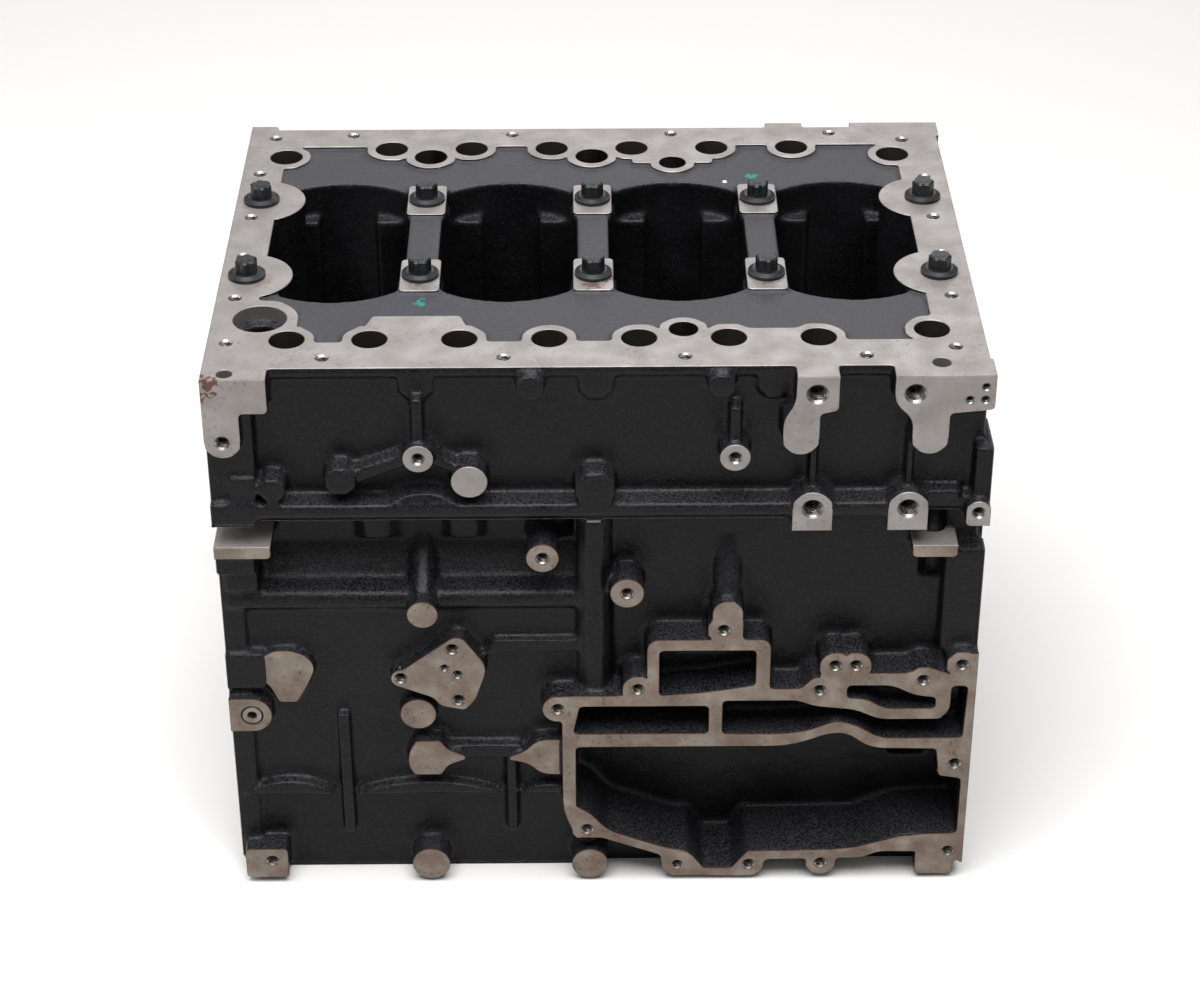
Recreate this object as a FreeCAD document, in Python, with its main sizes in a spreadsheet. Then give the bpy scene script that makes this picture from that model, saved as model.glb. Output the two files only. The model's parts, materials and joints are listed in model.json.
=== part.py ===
"""Bare four-cylinder diesel engine block with its bedplate, standing upside down on its head face.

Frame: millimetres, +X along the crankshaft from the flywheel end to the timing end, +Z up.
The head face of the block lies on Z = 0 and the sump rail of the bedplate is the top.
The origin is at the middle of the box that the two castings fill, at floor level.
"""
import FreeCAD, Part
import math
import os
import re

import Sketcher

V = FreeCAD.Vector

# Driving sizes in millimetres
SIZES = {
    # Castings
    "bore_pitch": 125,
    "bore_diameter": 103,
    "flywheel_end": 19,
    "timing_end": 27,
    "block_width": 402,
    "deck_height": 321,
    "bedplate_height": 120,
    "crank_offset": 9,
    # Crankcase
    "bulkhead": 24,
    "housing_bore": 84,
    "seal_bore": 118,
    "seal_depth": 12,
    "bay_half_width": 94,
    "bay_corner": 74,
    "bay_floor": 172,
    "crankcase_half_width": 124,
    "crankcase_roof": 16,
    # Outer walls
    "bedplate_wall": 20,
    "bedplate_back": 12,
    "front_wall": 25,
    "back_wall": 27,
    "end_step": 5,
    "flange_height": 17,
    "flange_edge": 9,
    "rim_height": 8,
    "rim_step": 4,
    "shelf_depth": 3,
    "cast_drop": 1.5,
    # Main bolts
    "main_bolt": 14,
    "main_bolt_spread": 120,
    "main_bolt_flange": 27,
    "main_bolt_head": 17,
    "main_head_height": 14,
    "main_flange_height": 3,
    "main_thread_depth": 62,
    "bolt_clearance": 0.5,
    "pad_length": 48,
    "pad_width": 29,
    "column_diameter": 34,
    "column_step": 9,
    "end_pad_diameter": 56,
    # Rail bolts
    "rail_bolt": 10,
    "rail_bolt_head": 16,
    "rail_head_height": 9,
    "rail_counterbore": 25,
    "rail_seat": 26,
    "rail_thread_depth": 30,
    "rail_ring": 38,
    "rail_front": 56,
    "rail_back": 43.5,
    "drain_diameter": 20.5,
    # Sump rail
    "tapped_hole": 8,
    "tapped_depth": 18,
    "sump_front": 30,
    "sump_back": 18.5,
    # Dowels and plugs
    "dowel_diameter": 19,
    "dowel_length": 16,
    "fit_clearance": 0.1,
    "core_plug": 45,
    "core_plug_depth": 10,
    "core_plug_wall": 2,
    "core_plug_height": 78,
    "gallery_plug": 16,
    "gallery_plug_depth": 14,
    "gallery_height": 246,
    "gallery_boss": 34,
    "gallery_tap_height": 152,
    # Chamber flange of the oil cooler
    "cooler_reach": 273,
    "cooler_depth": 55,
    "cooler_channel_depth": 30,
    "boss_diameter": 23,
    # Engine mount, its four tapped holes on each side
    "mount_reach": 125,
    "mount_spread": 67,
    "mount_rows": 93,
    "mount_drop": 14,
    "mount_hole": 13,
    "mount_hole_depth": 26,
    "mount_boss": 28,
    "mount_foot": 5,
    "pad_drop": 27,
    "lobe_drop": 50,
    "lobe_diameter": 25,
    # Head face
    "head_bolt": 13,
    "head_bolt_depth": 90,
    "coolant_hole": 12,
    "coolant_depth": 30,
}

# Places worked out from the sizes
PLACES = {
    "parting": "deck_height",
    "rail": "deck_height + bedplate_height",
    "shelf": "rail - shelf_depth",
    "length": "4 * bore_pitch + flywheel_end + timing_end",
    "left": "-length / 2",
    "right": "length / 2",
    "front": "-block_width / 2",
    "back": "block_width / 2",
    "first_bearing": "left + flywheel_end",
    "bolt_front": "crank_offset - main_bolt_spread / 2",
    "bolt_back": "crank_offset + main_bolt_spread / 2",
    "middle_bearing": "first_bearing + 2 * bore_pitch",
    "cooler_datum": "right - cooler_reach",
    "mount_axis": "right - mount_reach",
    "mount_top": "rail - mount_drop",
    "rail_line_front": "front + rail_front",
    "rail_line_back": "back - rail_back",
}

BEARINGS = 5
CYLINDERS = BEARINGS - 1

# Sides of the prisms that stand for small round forms, to keep the faces few. Round ones have none.
ROUND = 0
TAP_SIDES = 6
BOLT_SIDES = 6
BOSS_SIDES = 8
CUP_SIDES = 10
TUNNEL_SIDES = 16

doc = FreeCAD.newDocument("engine_block")
sheet = doc.addObject("Spreadsheet::Sheet", "Sizes")
for row, (alias, size) in enumerate(SIZES.items(), start=1):
    sheet.set(f"A{row}", alias)
    sheet.set(f"B{row}", str(size))
    sheet.setAlias(f"B{row}", alias)
doc.recompute()


def formula(text):
    """A formula in words of this file, as one on the sheet."""
    def expand(match):
        word = match.group(0)
        if word in PLACES:
            return f"({formula(PLACES[word])})"
        return f"Sizes.{word}" if word in SIZES else word
    return re.sub(r"[a-z_]+", expand, str(text))


def amount(text):
    """The present value of a formula, for starting points of sketches."""
    return float(sheet.evalExpression(formula(text)))


def bind(item, **properties):
    """Ties properties of an object to formulas."""
    for name, text in properties.items():
        item.setExpression(name, formula(text))
    return item


def place(item, x="0", y="0", z="0", turn=None):
    """Puts an object at a place given by formulas, turned by a rotation."""
    if turn is not None:
        item.Placement = FreeCAD.Placement(V(0, 0, 0), turn)
    for axis, text in zip("xyz", (x, y, z)):
        item.setExpression(f"Placement.Base.{axis}", formula(text))
    return item


TURNS = {
    "x": FreeCAD.Rotation(V(0, 1, 0), 90),
    "y": FreeCAD.Rotation(V(1, 0, 0), -90),
    "z": FreeCAD.Rotation(),
}


def slab(name, x, y, z):
    """A box between two values on each axis."""
    item = doc.addObject("Part::Box", name)
    bind(item, Length=f"({x[1]}) - ({x[0]})", Width=f"({y[1]}) - ({y[0]})", Height=f"({z[1]}) - ({z[0]})")
    return place(item, x[0], y[0], z[0])


def rod(name, at, diameter, length, along="z", sides=ROUND):
    """A cylinder from a point, along an axis."""
    if sides != ROUND:
        return prism(name, at, diameter, length, along, sides)
    item = doc.addObject("Part::Cylinder", name)
    bind(item, Radius=f"({diameter}) / 2", Height=length)
    return place(item, *at, turn=TURNS[along])


def prism(name, at, diameter, length, along, sides):
    """A many-sided hole or boss whose flats touch the circle of the given diameter, one of them on each axis."""
    item = doc.addObject("Part::Prism", name)
    item.Polygon = sides
    bind(item, Circumradius=f"({diameter}) / 2 / cos({180 / sides})", Height=length)
    return place(item, *at, turn=TURNS[along].multiply(half_step(sides)))


def half_step(sides):
    """The turn that brings a flat of a prism to where a corner was."""
    return FreeCAD.Rotation(V(0, 0, 1), 180 / sides)


def filling(diameter, sides):
    """The size across flats of a prism that takes as much room as a round boss of a diameter."""
    return f"({diameter}) * {math.sqrt(math.pi / sides / math.tan(math.pi / sides)):.4f}"


def rounded(points):
    """A closed wire through points (u, v) or (u, v, radius), with an arc at each radius."""
    corners = [V(point[0], point[1], 0) for point in points]
    edges = []
    ends = []
    for index, corner in enumerate(corners):
        radius = points[index][2] if len(points[index]) > 2 else 0
        before = (corners[index - 1] - corner).normalize()
        after = (corners[(index + 1) % len(corners)] - corner).normalize()
        if radius == 0:
            ends.append((corner, corner))
            continue
        half = before.getAngle(after) / 2
        reach = radius / math.tan(half)
        middle = (before + after).normalize()
        crown = corner + middle * (radius / math.sin(half) - radius)
        start = corner + before * reach
        end = corner + after * reach
        edges.append(Part.Arc(start, crown, end).toShape())
        ends.append((start, end))
    for index, (start, end) in enumerate(ends):
        following = ends[(index + 1) % len(ends)][0]
        if (following - end).Length > 1e-6:
            edges.append(Part.LineSegment(end, following).toShape())
    return Part.Wire(Part.__sortEdges__(edges))


def extruded(name, points, at, depth, facing="front"):
    """A prism of an outline. Facing front it is drawn in X and Z, facing end in Y and Z, facing up in X and Y."""
    turns = {
        "front": FreeCAD.Rotation(V(1, 0, 0), 90),
        "end": FreeCAD.Rotation(V(1, 1, 1), 120),
        "up": FreeCAD.Rotation(),
    }
    profile = doc.addObject("Part::Feature", f"{name}_outline")
    profile.Shape = Part.Face(rounded(points))
    place(profile, *at, turn=turns[facing])
    item = doc.addObject("Part::Extrusion", name)
    item.Base = profile
    item.DirMode = "Custom"
    item.Dir = {"front": V(0, 1, 0), "end": V(1, 0, 0), "up": V(0, 0, 1)}[facing]
    item.Solid = True
    bind(item, LengthFwd=depth)
    return item


def fused(name, items):
    """One solid of several."""
    if len(items) == 1:
        return items[0]
    item = doc.addObject("Part::MultiFuse", name)
    item.Shapes = items
    item.Refine = False
    return item


def cut(name, base, tools):
    """A solid with tools cut out of it."""
    item = doc.addObject("Part::Cut", name)
    item.Base = base
    item.Tool = fused(f"{name}_tools", tools)
    item.Refine = False
    return item


def bearing(index):
    """The place of a main bearing along the crankshaft."""
    return f"first_bearing + {index} * bore_pitch"


def cylinder_axis(index):
    """The place of a cylinder along the crankshaft."""
    return f"first_bearing + {index + 0.5} * bore_pitch"


def from_side(side, near, far):
    """The two Y values at depths behind the front or back plane."""
    if side == "front":
        return f"front + {near}", f"front + {far}"
    return f"back - ({far})", f"back - ({near})"


def boss(name, side, x, z, diameter, near, far, sides=BOSS_SIDES):
    """A round boss that stands out of the front or back wall."""
    return across(name, side, x, z, filling(diameter, sides), near, far, sides)


def across(name, side, x, z, diameter, near, far, sides):
    """A many-sided rod across the block between two depths behind one side."""
    start, end = from_side(side, near, far)
    return rod(name, (x, start, z), diameter, f"({end}) - ({start})", "y", sides)


def tapped(name, side, x, z, diameter="tapped_hole", depth="tapped_depth", near="0", sides=TAP_SIDES):
    """A hole into the front or back face."""
    return across(name, side, x, z, diameter, near, f"{near} + {depth}", sides)


# Rows of bolts and holes along the rail: name, place along the crankshaft, line across
RAIL_FRONT = [f"{bearing(0)} + bore_pitch * 0.29"] + [
    f"{bearing(index)} {sign} bore_pitch / 4" for index in (1, 2, 3) for sign in "-+"
] + [f"{bearing(4)} - 14"]
RAIL_BACK = [f"{bearing(0)} + 12.5"] + [
    f"{bearing(index)} {sign} bore_pitch / 4" for index in (1, 2, 3) for sign in "-+"
] + [f"{bearing(4)} - 16"]


def rail_bolt_places():
    """Name, X and Y of each rail bolt."""
    found = []
    for number, x in enumerate(RAIL_FRONT, start=1):
        shift = " + 10" if number == len(RAIL_FRONT) else ""
        found.append((f"rail_bolt_front_{number}", x, "rail_line_front" + shift))
    for number, x in enumerate(RAIL_BACK, start=1):
        shift = " - 13.5" if number in (1, len(RAIL_BACK)) else ""
        found.append((f"rail_bolt_back_{number}", x, "rail_line_back" + shift))
    return found


def main_bolt_places():
    """Name, X and Y of each main bolt."""
    return [
        (f"main_bolt_{index + 1}_{side}", bearing(index), f"bolt_{side}")
        for index in range(BEARINGS) for side in ("front", "back")
    ]


def drain_places():
    """Name, X, Y and diameter of the plain holes that let oil drain past the crankshaft."""
    return [
        ("drain_back_1", bearing(1), "rail_line_back - 14.5", "rail_counterbore"),
        ("drain_back_2", bearing(2), "rail_line_back - 14.5", "rail_counterbore"),
        ("drain_back_3", cylinder_axis(2), "rail_line_back - 26.5", "drain_diameter"),
        ("drain_front_3", cylinder_axis(2), "rail_line_front + 12", "drain_diameter"),
    ]


def sump_hole_places():
    """X and Y of the tapped holes that hold the sump."""
    front = [(cylinder_axis(index), "front + sump_front") for index in range(CYLINDERS)]
    back = [(cylinder_axis(index), "back - sump_back") for index in range(CYLINDERS)]
    corners = [(f"{bearing(4)}", "front + 41"), (f"{bearing(4)} - 6", "back - 31"), ("left + 20.5", "back - 23")]
    left_side = [("left + 13.5", f"crank_offset + {shift}") for shift in (106, 33, -29, -93, -158)]
    right_side = [("right - 22", f"crank_offset + {shift}") for shift in (95, 28, -30, -95)]
    return front + back + corners + left_side + right_side


def lens(name, x, z, width, rise, near):
    """A low bump on the front wall with a bowed top and a straight foot, as over a core print."""
    half = amount(width) / 2
    bow = Part.Arc(V(-half, 0, 0), V(0, rise, 0), V(half, 0, 0)).toShape()
    profile = doc.addObject("Part::Feature", f"{name}_outline")
    profile.Shape = Part.Face(Part.Wire([bow, Part.LineSegment(V(half, 0, 0), V(-half, 0, 0)).toShape()]))
    place(profile, x, f"front + {near}", z, turn=FreeCAD.Rotation(V(1, 0, 0), 90))
    item = doc.addObject("Part::Extrusion", name)
    item.Base = profile
    item.DirMode = "Custom"
    item.Dir = V(0, 1, 0)
    item.Solid = True
    return bind(item, LengthFwd=f"bedplate_wall + 2 - ({near})")


def bay(index, name, low, high):
    """The space for one crank throw: straight sides at the bulkheads, bowed sides along the block."""
    half = (amount("bore_pitch") - amount("bulkhead")) / 2
    corner = amount("bay_corner")
    crown = amount("bay_half_width")
    edges = [
        Part.LineSegment(V(-half, corner, 0), V(-half, -corner, 0)).toShape(),
        Part.Arc(V(-half, -corner, 0), V(0, -crown, 0), V(half, -corner, 0)).toShape(),
        Part.LineSegment(V(half, -corner, 0), V(half, corner, 0)).toShape(),
        Part.Arc(V(half, corner, 0), V(0, crown, 0), V(-half, corner, 0)).toShape(),
    ]
    profile = doc.addObject("Part::Feature", f"{name}_outline")
    profile.Shape = Part.Face(Part.Wire(edges))
    place(profile, cylinder_axis(index), "crank_offset", low)
    item = doc.addObject("Part::Extrusion", name)
    item.Base = profile
    item.DirMode = "Custom"
    item.Dir = V(0, 0, 1)
    item.Solid = True
    return bind(item, LengthFwd=f"({high}) - ({low})")


def bearing_tunnel(name):
    """The bore of the main bearings through all bulkheads, with the wider seal seat at the flywheel end."""
    bore = rod(f"{name}_bore", ("left - 10", "crank_offset", "parting"), "housing_bore", "length + 20", "x",
               TUNNEL_SIDES)
    seal = rod(f"{name}_seal", ("left - 10", "crank_offset", "parting"), "seal_bore", "seal_depth + 10", "x",
               TUNNEL_SIDES)
    return [bore, seal]


def mount_pads(side):
    """The machined pads of an engine mount: two at the rail and two at the parting plane.

    On the front, where the bracket carries more, each upper pad has a lobe and a rib below it.
    """
    near_far = from_side(side, "0", "bedplate_wall + 4")
    lobe_half = amount("lobe_diameter") / 2
    drop = amount("pad_drop")
    end = amount("right - 3 - mount_axis - mount_spread")
    parts = []
    for number, (x, shift, right_edge) in enumerate((("mount_axis", -10, 15), ("mount_axis + mount_spread", 12, end))):
        shoulder = lobe_half + shift
        outline = [(-14, 0), (right_edge, 0), (right_edge, -drop), (shoulder, -drop - 3), (shoulder, -amount("lobe_drop")),
                   (shoulder - 2 * lobe_half, -amount("lobe_drop")), (shoulder - 2 * lobe_half, -drop - 7),
                   (min(-14, shoulder - 2 * lobe_half + 8), -drop + 5)]
        lobe_x = f"{x} + {shift}"
        low = slab(
            f"mount_low_{side}_{number}",
            (f"{x} - mount_boss / 2", f"{x} + mount_boss / 2"),
            near_far,
            ("parting - mount_foot", "mount_top - mount_rows"),
        )
        crown = boss(f"mount_crown_{side}_{number}", side, x, "mount_top - mount_rows", "mount_boss",
                     "0", "bedplate_wall + 4")
        parts += [low, crown]
        if side == "back":
            parts.append(slab(f"mount_pad_{side}_{number}", (f"{x} - 14", f"{x} + ({right_edge})"), near_far,
                              ("rail - pad_drop", "rail")))
            continue
        pad = extruded(f"mount_pad_{side}_{number}", outline, (x, near_far[0], "rail"), "bedplate_wall + 4")
        lobe = boss(f"mount_lobe_{side}_{number}", side, lobe_x, "rail - lobe_drop", "lobe_diameter",
                    "0", "bedplate_wall + 4")
        rib = slab(
            f"mount_rib_{side}_{number}",
            (f"{x} - 2.5", f"{x} + 2.5"),
            from_side(side, "8", "bedplate_wall + 4"),
            ("parting + flange_height", "rail - lobe_drop"),
        )
        parts += [pad, lobe, rib]
    return parts


def mount_holes(side, sides):
    """The four tapped holes of an engine mount."""
    return [
        tapped(f"mount_hole_{side}_{column}_{row}", side, x, z, "mount_hole", "mount_hole_depth", sides=sides)
        for column, x in enumerate(("mount_axis", "mount_axis + mount_spread"))
        for row, z in enumerate(("mount_top", "mount_top - mount_rows"))
    ]


def bedplate_flange(name, side, near, x):
    """A stretch of the ledge along the foot of the bedplate, with a sloped under edge."""
    height = amount("flange_height")
    edge = height - amount("flange_edge")
    inner = amount("bedplate_wall") + 6 - near
    sign = 1 if side == "front" else -1
    points = [(0, height), (0, edge), (sign * 8, 0), (sign * inner, 0), (sign * inner, height)]
    face = f"front + {near}" if side == "front" else f"back - {near}"
    return extruded(name, points, (x[0], face, "parting"), f"({x[1]}) - ({x[0]})", facing="end")


def bedplate():
    """The upper casting, which holds the other halves of the main bearings."""
    wall_front = "front + bedplate_wall"
    wall_back = "back - bedplate_back"
    solids = [
        slab("bedplate_body", ("left", "right - end_step"), (wall_front, wall_back), ("parting", "rail")),
        slab("rim_lip", ("left", "right - end_step"), (f"{wall_front} - rim_step", f"{wall_back} + rim_step"),
             ("rail - rim_height", "rail")),
        bedplate_flange("flange_front", "front", 1.5, ("left + 33", "mount_axis + mount_spread")),
        bedplate_flange("flange_front_end", "front", 11, ("mount_axis + mount_spread", "right - end_step")),
        bedplate_flange("flange_back", "back", 1.5, ("left + 33", "right - end_step")),
        slab("corner_pad", ("left", "left + 45"), from_side("front", "0", "bedplate_wall + 4"),
             ("rail - pad_drop", "rail")),
        slab("corner_web", ("left", "left + lobe_diameter"), from_side("front", "0", "bedplate_wall + 4"),
             ("rail - lobe_drop", "rail - pad_drop")),
        boss("corner_lobe", "front", "left + lobe_diameter / 2", "rail - lobe_drop", "lobe_diameter",
             "0", "bedplate_wall + 4"),
        slab("corner_leg", ("left", "left + 33"), from_side("front", "8", "bedplate_wall + 4"),
             ("parting", "rail - pad_drop")),
        slab("corner_foot", ("left", "left + 31"), from_side("front", "cast_drop", "bedplate_wall"),
             ("parting", "parting + 18")),
        slab("corner_step", ("left + 14", "left + 32"), from_side("front", "4", "bedplate_wall"),
             ("parting + 17", "parting + 38")),
        slab("corner_leg_back", ("left", "left + 21"), from_side("back", "cast_drop", "bedplate_back + 4"),
             ("parting", "rail")),
        slab("mount_web_front", ("mount_axis + 13", "mount_axis + mount_spread - 13"),
             from_side("front", "4", "bedplate_wall + 4"), ("parting + 3", "parting + 14")),
        slab("mount_shelf_front", ("mount_axis + mount_spread + 13", "right - 21"),
             from_side("front", "9", "bedplate_wall + 4"), ("parting + 17", "parting + 22")),
        slab("timing_pad", ("right - 17", "right"), from_side("front", "0", "bedplate_wall + 4"),
             ("parting - 2", "parting + 12")),
        boss("timing_pad_crown", "front", "right - 8.5", "parting + 10", 17, "0", "bedplate_wall + 4"),
        slab("timing_column", ("right - 12", "right"), from_side("front", "7", "bedplate_wall + 30"),
             ("parting + 10", "parting + 58")),
        lens("ledge_bump", f"{bearing(1)} + 5", "parting + flange_height - 1", "52", 9, "4"),
    ]
    solids += mount_pads("front") + mount_pads("back")
    round_bosses = [
        ("lip_boss_1", f"{bearing(1)} + 2", "rail - 15", 24, 16),
        ("lip_boss_2", f"{bearing(2)} + 1", "rail - 15", 24, 16),
        ("lip_boss_3", f"{bearing(3)} - 1", "rail - 15", 24, 16),
        ("post_1", f"{bearing(2)} - 44", "rail - 11", 20, 4),
        ("post_2", f"{bearing(3)} - 38", "rail - 10.5", 19, 4),
        ("bracket_boss", f"{bearing(1)} + 2.5", "parting + 56", 21, 0),
        ("locator_boss", f"{bearing(1)} + 37.5", "parting + 37", 25, 0),
        ("cast_boss", f"{bearing(1)} - 52.5", "parting + 36", 22, 2),
        ("end_boss", "left + 44", "parting + 29", 19, 2),
        ("pipe_boss", f"{bearing(2)}", "parting + 33", 19, 2),
        ("pipe_flange", f"{bearing(2)}", "parting + 28", 29, "cast_drop"),
        ("right_bracket_boss", f"{bearing(3)} - 28", "parting + 55.5", 21, 0),
    ]
    for name, x, z, diameter, near in round_bosses:
        solids.append(boss(name, "front", x, z, diameter, near, "bedplate_wall + 2"))
    solids += [
        slab("bracket_rib", (f"{bearing(1)} - 1.5", f"{bearing(1)} + 6.5"),
             from_side("front", "6", "bedplate_wall + 2"), ("parting + 56", "rail - 20")),
        slab("right_bracket_rib", (f"{bearing(3)} - 32", f"{bearing(3)} - 24"),
             from_side("front", "6", "bedplate_wall + 2"), ("parting + 55", "rail - 28")),
        extruded("bracket_arms", [(-52, 28), (-50, 40), (-12, 54), (-2, 62), (10, 62), (20, 52), (36, 43), (40, 34),
                                  (30, 38), (12, 46), (2.5, 48), (-10, 44), (-40, 32)],
                 (bearing(1), "front + 7", "parting"), "bedplate_wall - 5"),
    ]
    shell = fused("bedplate_solid", solids)
    spaces = [bay(index, f"upper_bay_{index + 1}", "parting - 1", "rail + 1") for index in range(CYLINDERS)]
    open_casting = cut("bedplate_open", cut("bedplate_shelf", shell, [shelf_recess()]), spaces)
    columns = [
        rod(f"upper_column_{name}", (x, y, "parting"), "column_diameter", "bedplate_height - column_step",
            sides=BOSS_SIDES)
        for name, x, y in main_bolt_places()[2:-2]
    ]
    pads = [
        slab(f"bolt_pad_{name}", (f"{x} - pad_width / 2", f"{x} + pad_width / 2"),
             (f"{y} - pad_length / 2", f"{y} + pad_length / 2"), ("rail - column_step", "rail"))
        for name, x, y in main_bolt_places()[2:-2]
    ]
    tools = bearing_tunnel("upper")
    bolt_hole = "main_bolt + 2 * bolt_clearance"
    for name, x, y in main_bolt_places():
        tools.append(rod(f"upper_hole_{name}", (x, y, "parting - 1"), bolt_hole, "bedplate_height + 2",
                         sides=BOLT_SIDES))
    for name, x, y in rail_bolt_places():
        tools.append(rod(f"counterbore_{name}", (x, y, "parting + rail_seat"), "rail_counterbore",
                         "bedplate_height - rail_seat + 1", sides=BOSS_SIDES))
        tools.append(rod(f"upper_hole_{name}", (x, y, "parting - 1"), "rail_bolt + 2 * bolt_clearance",
                         "rail_seat + 2", sides=TAP_SIDES))
    for name, x, y, diameter in drain_places():
        tools.append(rod(f"upper_{name}", (x, y, "parting - 1"), diameter, "bedplate_height + 2",
                         sides=BOSS_SIDES))
    for number, (x, y) in enumerate(sump_hole_places()):
        sides = ROUND if number in (0, CYLINDERS - 1, CYLINDERS, 2 * CYLINDERS - 1) else TAP_SIDES
        tools.append(rod(f"sump_hole_{number + 1}", (x, y, "rail - tapped_depth"), "tapped_hole", "tapped_depth + 1",
                         sides=sides))
    tools += [
        rod("pickup_seat", ("left + 34", "front + 86", "rail - 12"), 38, "13", sides=BOSS_SIDES),
        rod("pickup_hole", ("left + 34", "front + 86", "rail - 40"), 24, "41", sides=BOSS_SIDES),
        rod("sump_dowel_left", ("left + 16.5", "front + 9", "rail - 15"), 11, "16", sides=BOSS_SIDES),
        rod("sump_dowel_right", ("right - 39", "front + 19", "rail - 15"), 13, "16", sides=BOSS_SIDES),
        tapped("timing_tap", "front", "right - 8.5", "parting + 9"),
        tapped("plate_tap_upper", "front", "right - 10", "rail - 9", 5, 10),
        tapped("plate_tap_lower", "front", "right - 10", "rail - 19", 5, 10),
        tapped("plate_tap_inner", "front", "right - 20.5", "rail - 19", 5, 10),
        tapped("corner_tap", "front", "left + lobe_diameter / 2", "rail - lobe_drop", 9),
        tapped("bracket_tap", "front", f"{bearing(1)} + 2.5", "parting + 56"),
        tapped("right_bracket_tap", "front", f"{bearing(3)} - 28", "parting + 55.5"),
    ]
    tools += mount_holes("front", ROUND) + mount_holes("back", TAP_SIDES)
    tools += dowel_seats("upper", "parting", "dowel_length / 2")
    casting = cut("bedplate", fused("bedplate_columns", [open_casting] + columns + pads), tools)
    casting.Refine = True
    return casting


def shelf_recess():
    """The shallow painted recess inside the rim, with a ring of rim left round each hole near it."""
    area = slab("shelf_area", ("left + 31", "right - 40"), ("front + 52", "back - 39"), ("shelf", "rail + 1"))
    rings = []
    for name, x, y in rail_bolt_places():
        rings.append(rod(f"ring_{name}", (x, y, "shelf - 1"), "rail_ring", "shelf_depth + 3", sides=BOSS_SIDES))
    for name, x, y, diameter in drain_places():
        rings.append(rod(f"ring_{name}", (x, y, "shelf - 1"), f"{diameter} + 13", "shelf_depth + 3",
                         sides=BOSS_SIDES))
    for name, x, y in main_bolt_places()[:2] + main_bolt_places()[-2:]:
        rings.append(rod(f"ring_{name}", (x, y, "shelf - 1"), "end_pad_diameter", "shelf_depth + 3",
                         sides=BOSS_SIDES))
    rings.append(rod("ring_pickup", ("left + 34", "front + 86", "shelf - 1"), 54, "shelf_depth + 3",
                     sides=BOSS_SIDES))
    fills = [
        ("fill_back_1", bearing(1), "rail_line_back - 14.5", "back - 38"),
        ("fill_back_2", bearing(2), "rail_line_back - 14.5", "back - 38"),
        ("fill_back_3", cylinder_axis(2), "rail_line_back - 26.5", "back - 38"),
        ("fill_front_2", cylinder_axis(2), "front + 51", "rail_line_front + 12"),
        ("fill_front_3", bearing(3), "front + 51", "rail_line_front + 13"),
    ]
    for name, x, low, high in fills:
        rings.append(slab(name, (f"{x} - bore_pitch / 4", f"{x} + bore_pitch / 4"), (low, high),
                          ("shelf - 2", "rail + 2")))
    rings.append(extruded("fill_front_1", [(-43, 0), (43, 0), (31, 38), (-31, 38)],
                          (bearing(1), "front + 51", "shelf - 2"), "shelf_depth + 4", facing="up"))
    corners = [
        ("fill_corner_1", ("left + 30", f"{RAIL_BACK[0]}"), ("rail_line_back - 13.5", "back - 38")),
        ("fill_corner_2", (RAIL_BACK[-1], "right - 39"), ("rail_line_back - 13.5", "back - 38")),
        ("fill_corner_3", (RAIL_FRONT[-1], "right - 39"), ("front + 51", "rail_line_front + 10")),
        ("fill_corner_4", ("left + 30", RAIL_FRONT[0]), ("front + 51", "front + 86")),
    ]
    for name, x, y in corners:
        rings.append(slab(name, x, y, ("shelf - 2", "rail + 2")))
    return cut("shelf_recess", area, rings)


def dowel_seats(name, start, depth):
    """Seats of the ring dowels that locate the bedplate round the first and last main bolts."""
    return [
        rod(f"{name}_dowel_seat_{bolt}", (x, y, start), "dowel_diameter + 2 * fit_clearance", depth,
            sides=BOSS_SIDES)
        for bolt, x, y in (main_bolt_places()[0], main_bolt_places()[-1])
    ]


def front_wall_left():
    """The front wall on the flywheel side, with the double bulge of the oil gallery along it."""
    wall = amount("bedplate_wall")
    top = amount("deck_height")
    points = [(45, top), (45, top - 40, 12), (34, top - 56, 10), (30, top - 62, 6), (13, top - 66, 7),
              (13, top - 77, 3), (wall, top - 82, 3), (wall, 0), (90, 0), (90, top)]
    return extruded("front_wall_left", points, ("left + 5", "front", "0"),
                    "middle_bearing - 10 - left - 5", facing="end")


def cooler_flange():
    """The machined flange of the oil cooler chamber, as a band with a boss round each of its holes."""
    outline = [
        (-29, 149), (-29, 173), (12, 173), (33, 178), (33, 222.5, 9), (122.5, 222.5, 8), (122.5, 178.5),
        (144, 178.5), (159, 188), (159, 208, 7), (195, 208, 7), (195, 192), (221, 192), (237, 197), (253, 191),
        (253, 209, 4), (273, 209), (273, 15), (235, 25.5), (208, 26), (198, 20), (125, 19), (109, 3), (62, 4),
        (46, 8), (44, 24), (0, 41), (-19, 41), (-29, 67),
    ]
    base = ("cooler_datum", "front", "0")
    parts = [extruded("cooler_band", outline, base, "front_wall + 2")]
    for number, (x, z) in enumerate(cooler_holes(), start=1):
        parts.append(boss(f"cooler_boss_{number}", "front", f"cooler_datum + {x}", str(z), "boss_diameter",
                          "0", "front_wall + 2"))
    parts.append(boss("cooler_disc", "front", "cooler_datum + 90.6", "245", 22.4, "0", "front_wall + 2"))
    parts.append(slab("cooler_disc_web", ("cooler_datum + 79", "cooler_datum + 102"),
                      from_side("front", "0", "front_wall + 2"), ("220", "240")))
    return parts


def cooler_holes():
    """X from the datum and Z of the tapped holes round the oil cooler chamber."""
    return [(-32, 161.5), (26.5, 179), (88, 231), (159, 177), (169.5, 199), (184.5, 199), (234, 185.5),
            (261.5, 199), (261.5, 109), (261.5, 26), (165.6, 15.5), (111, 14.5), (57, 15), (-11, 49.5)]


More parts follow.
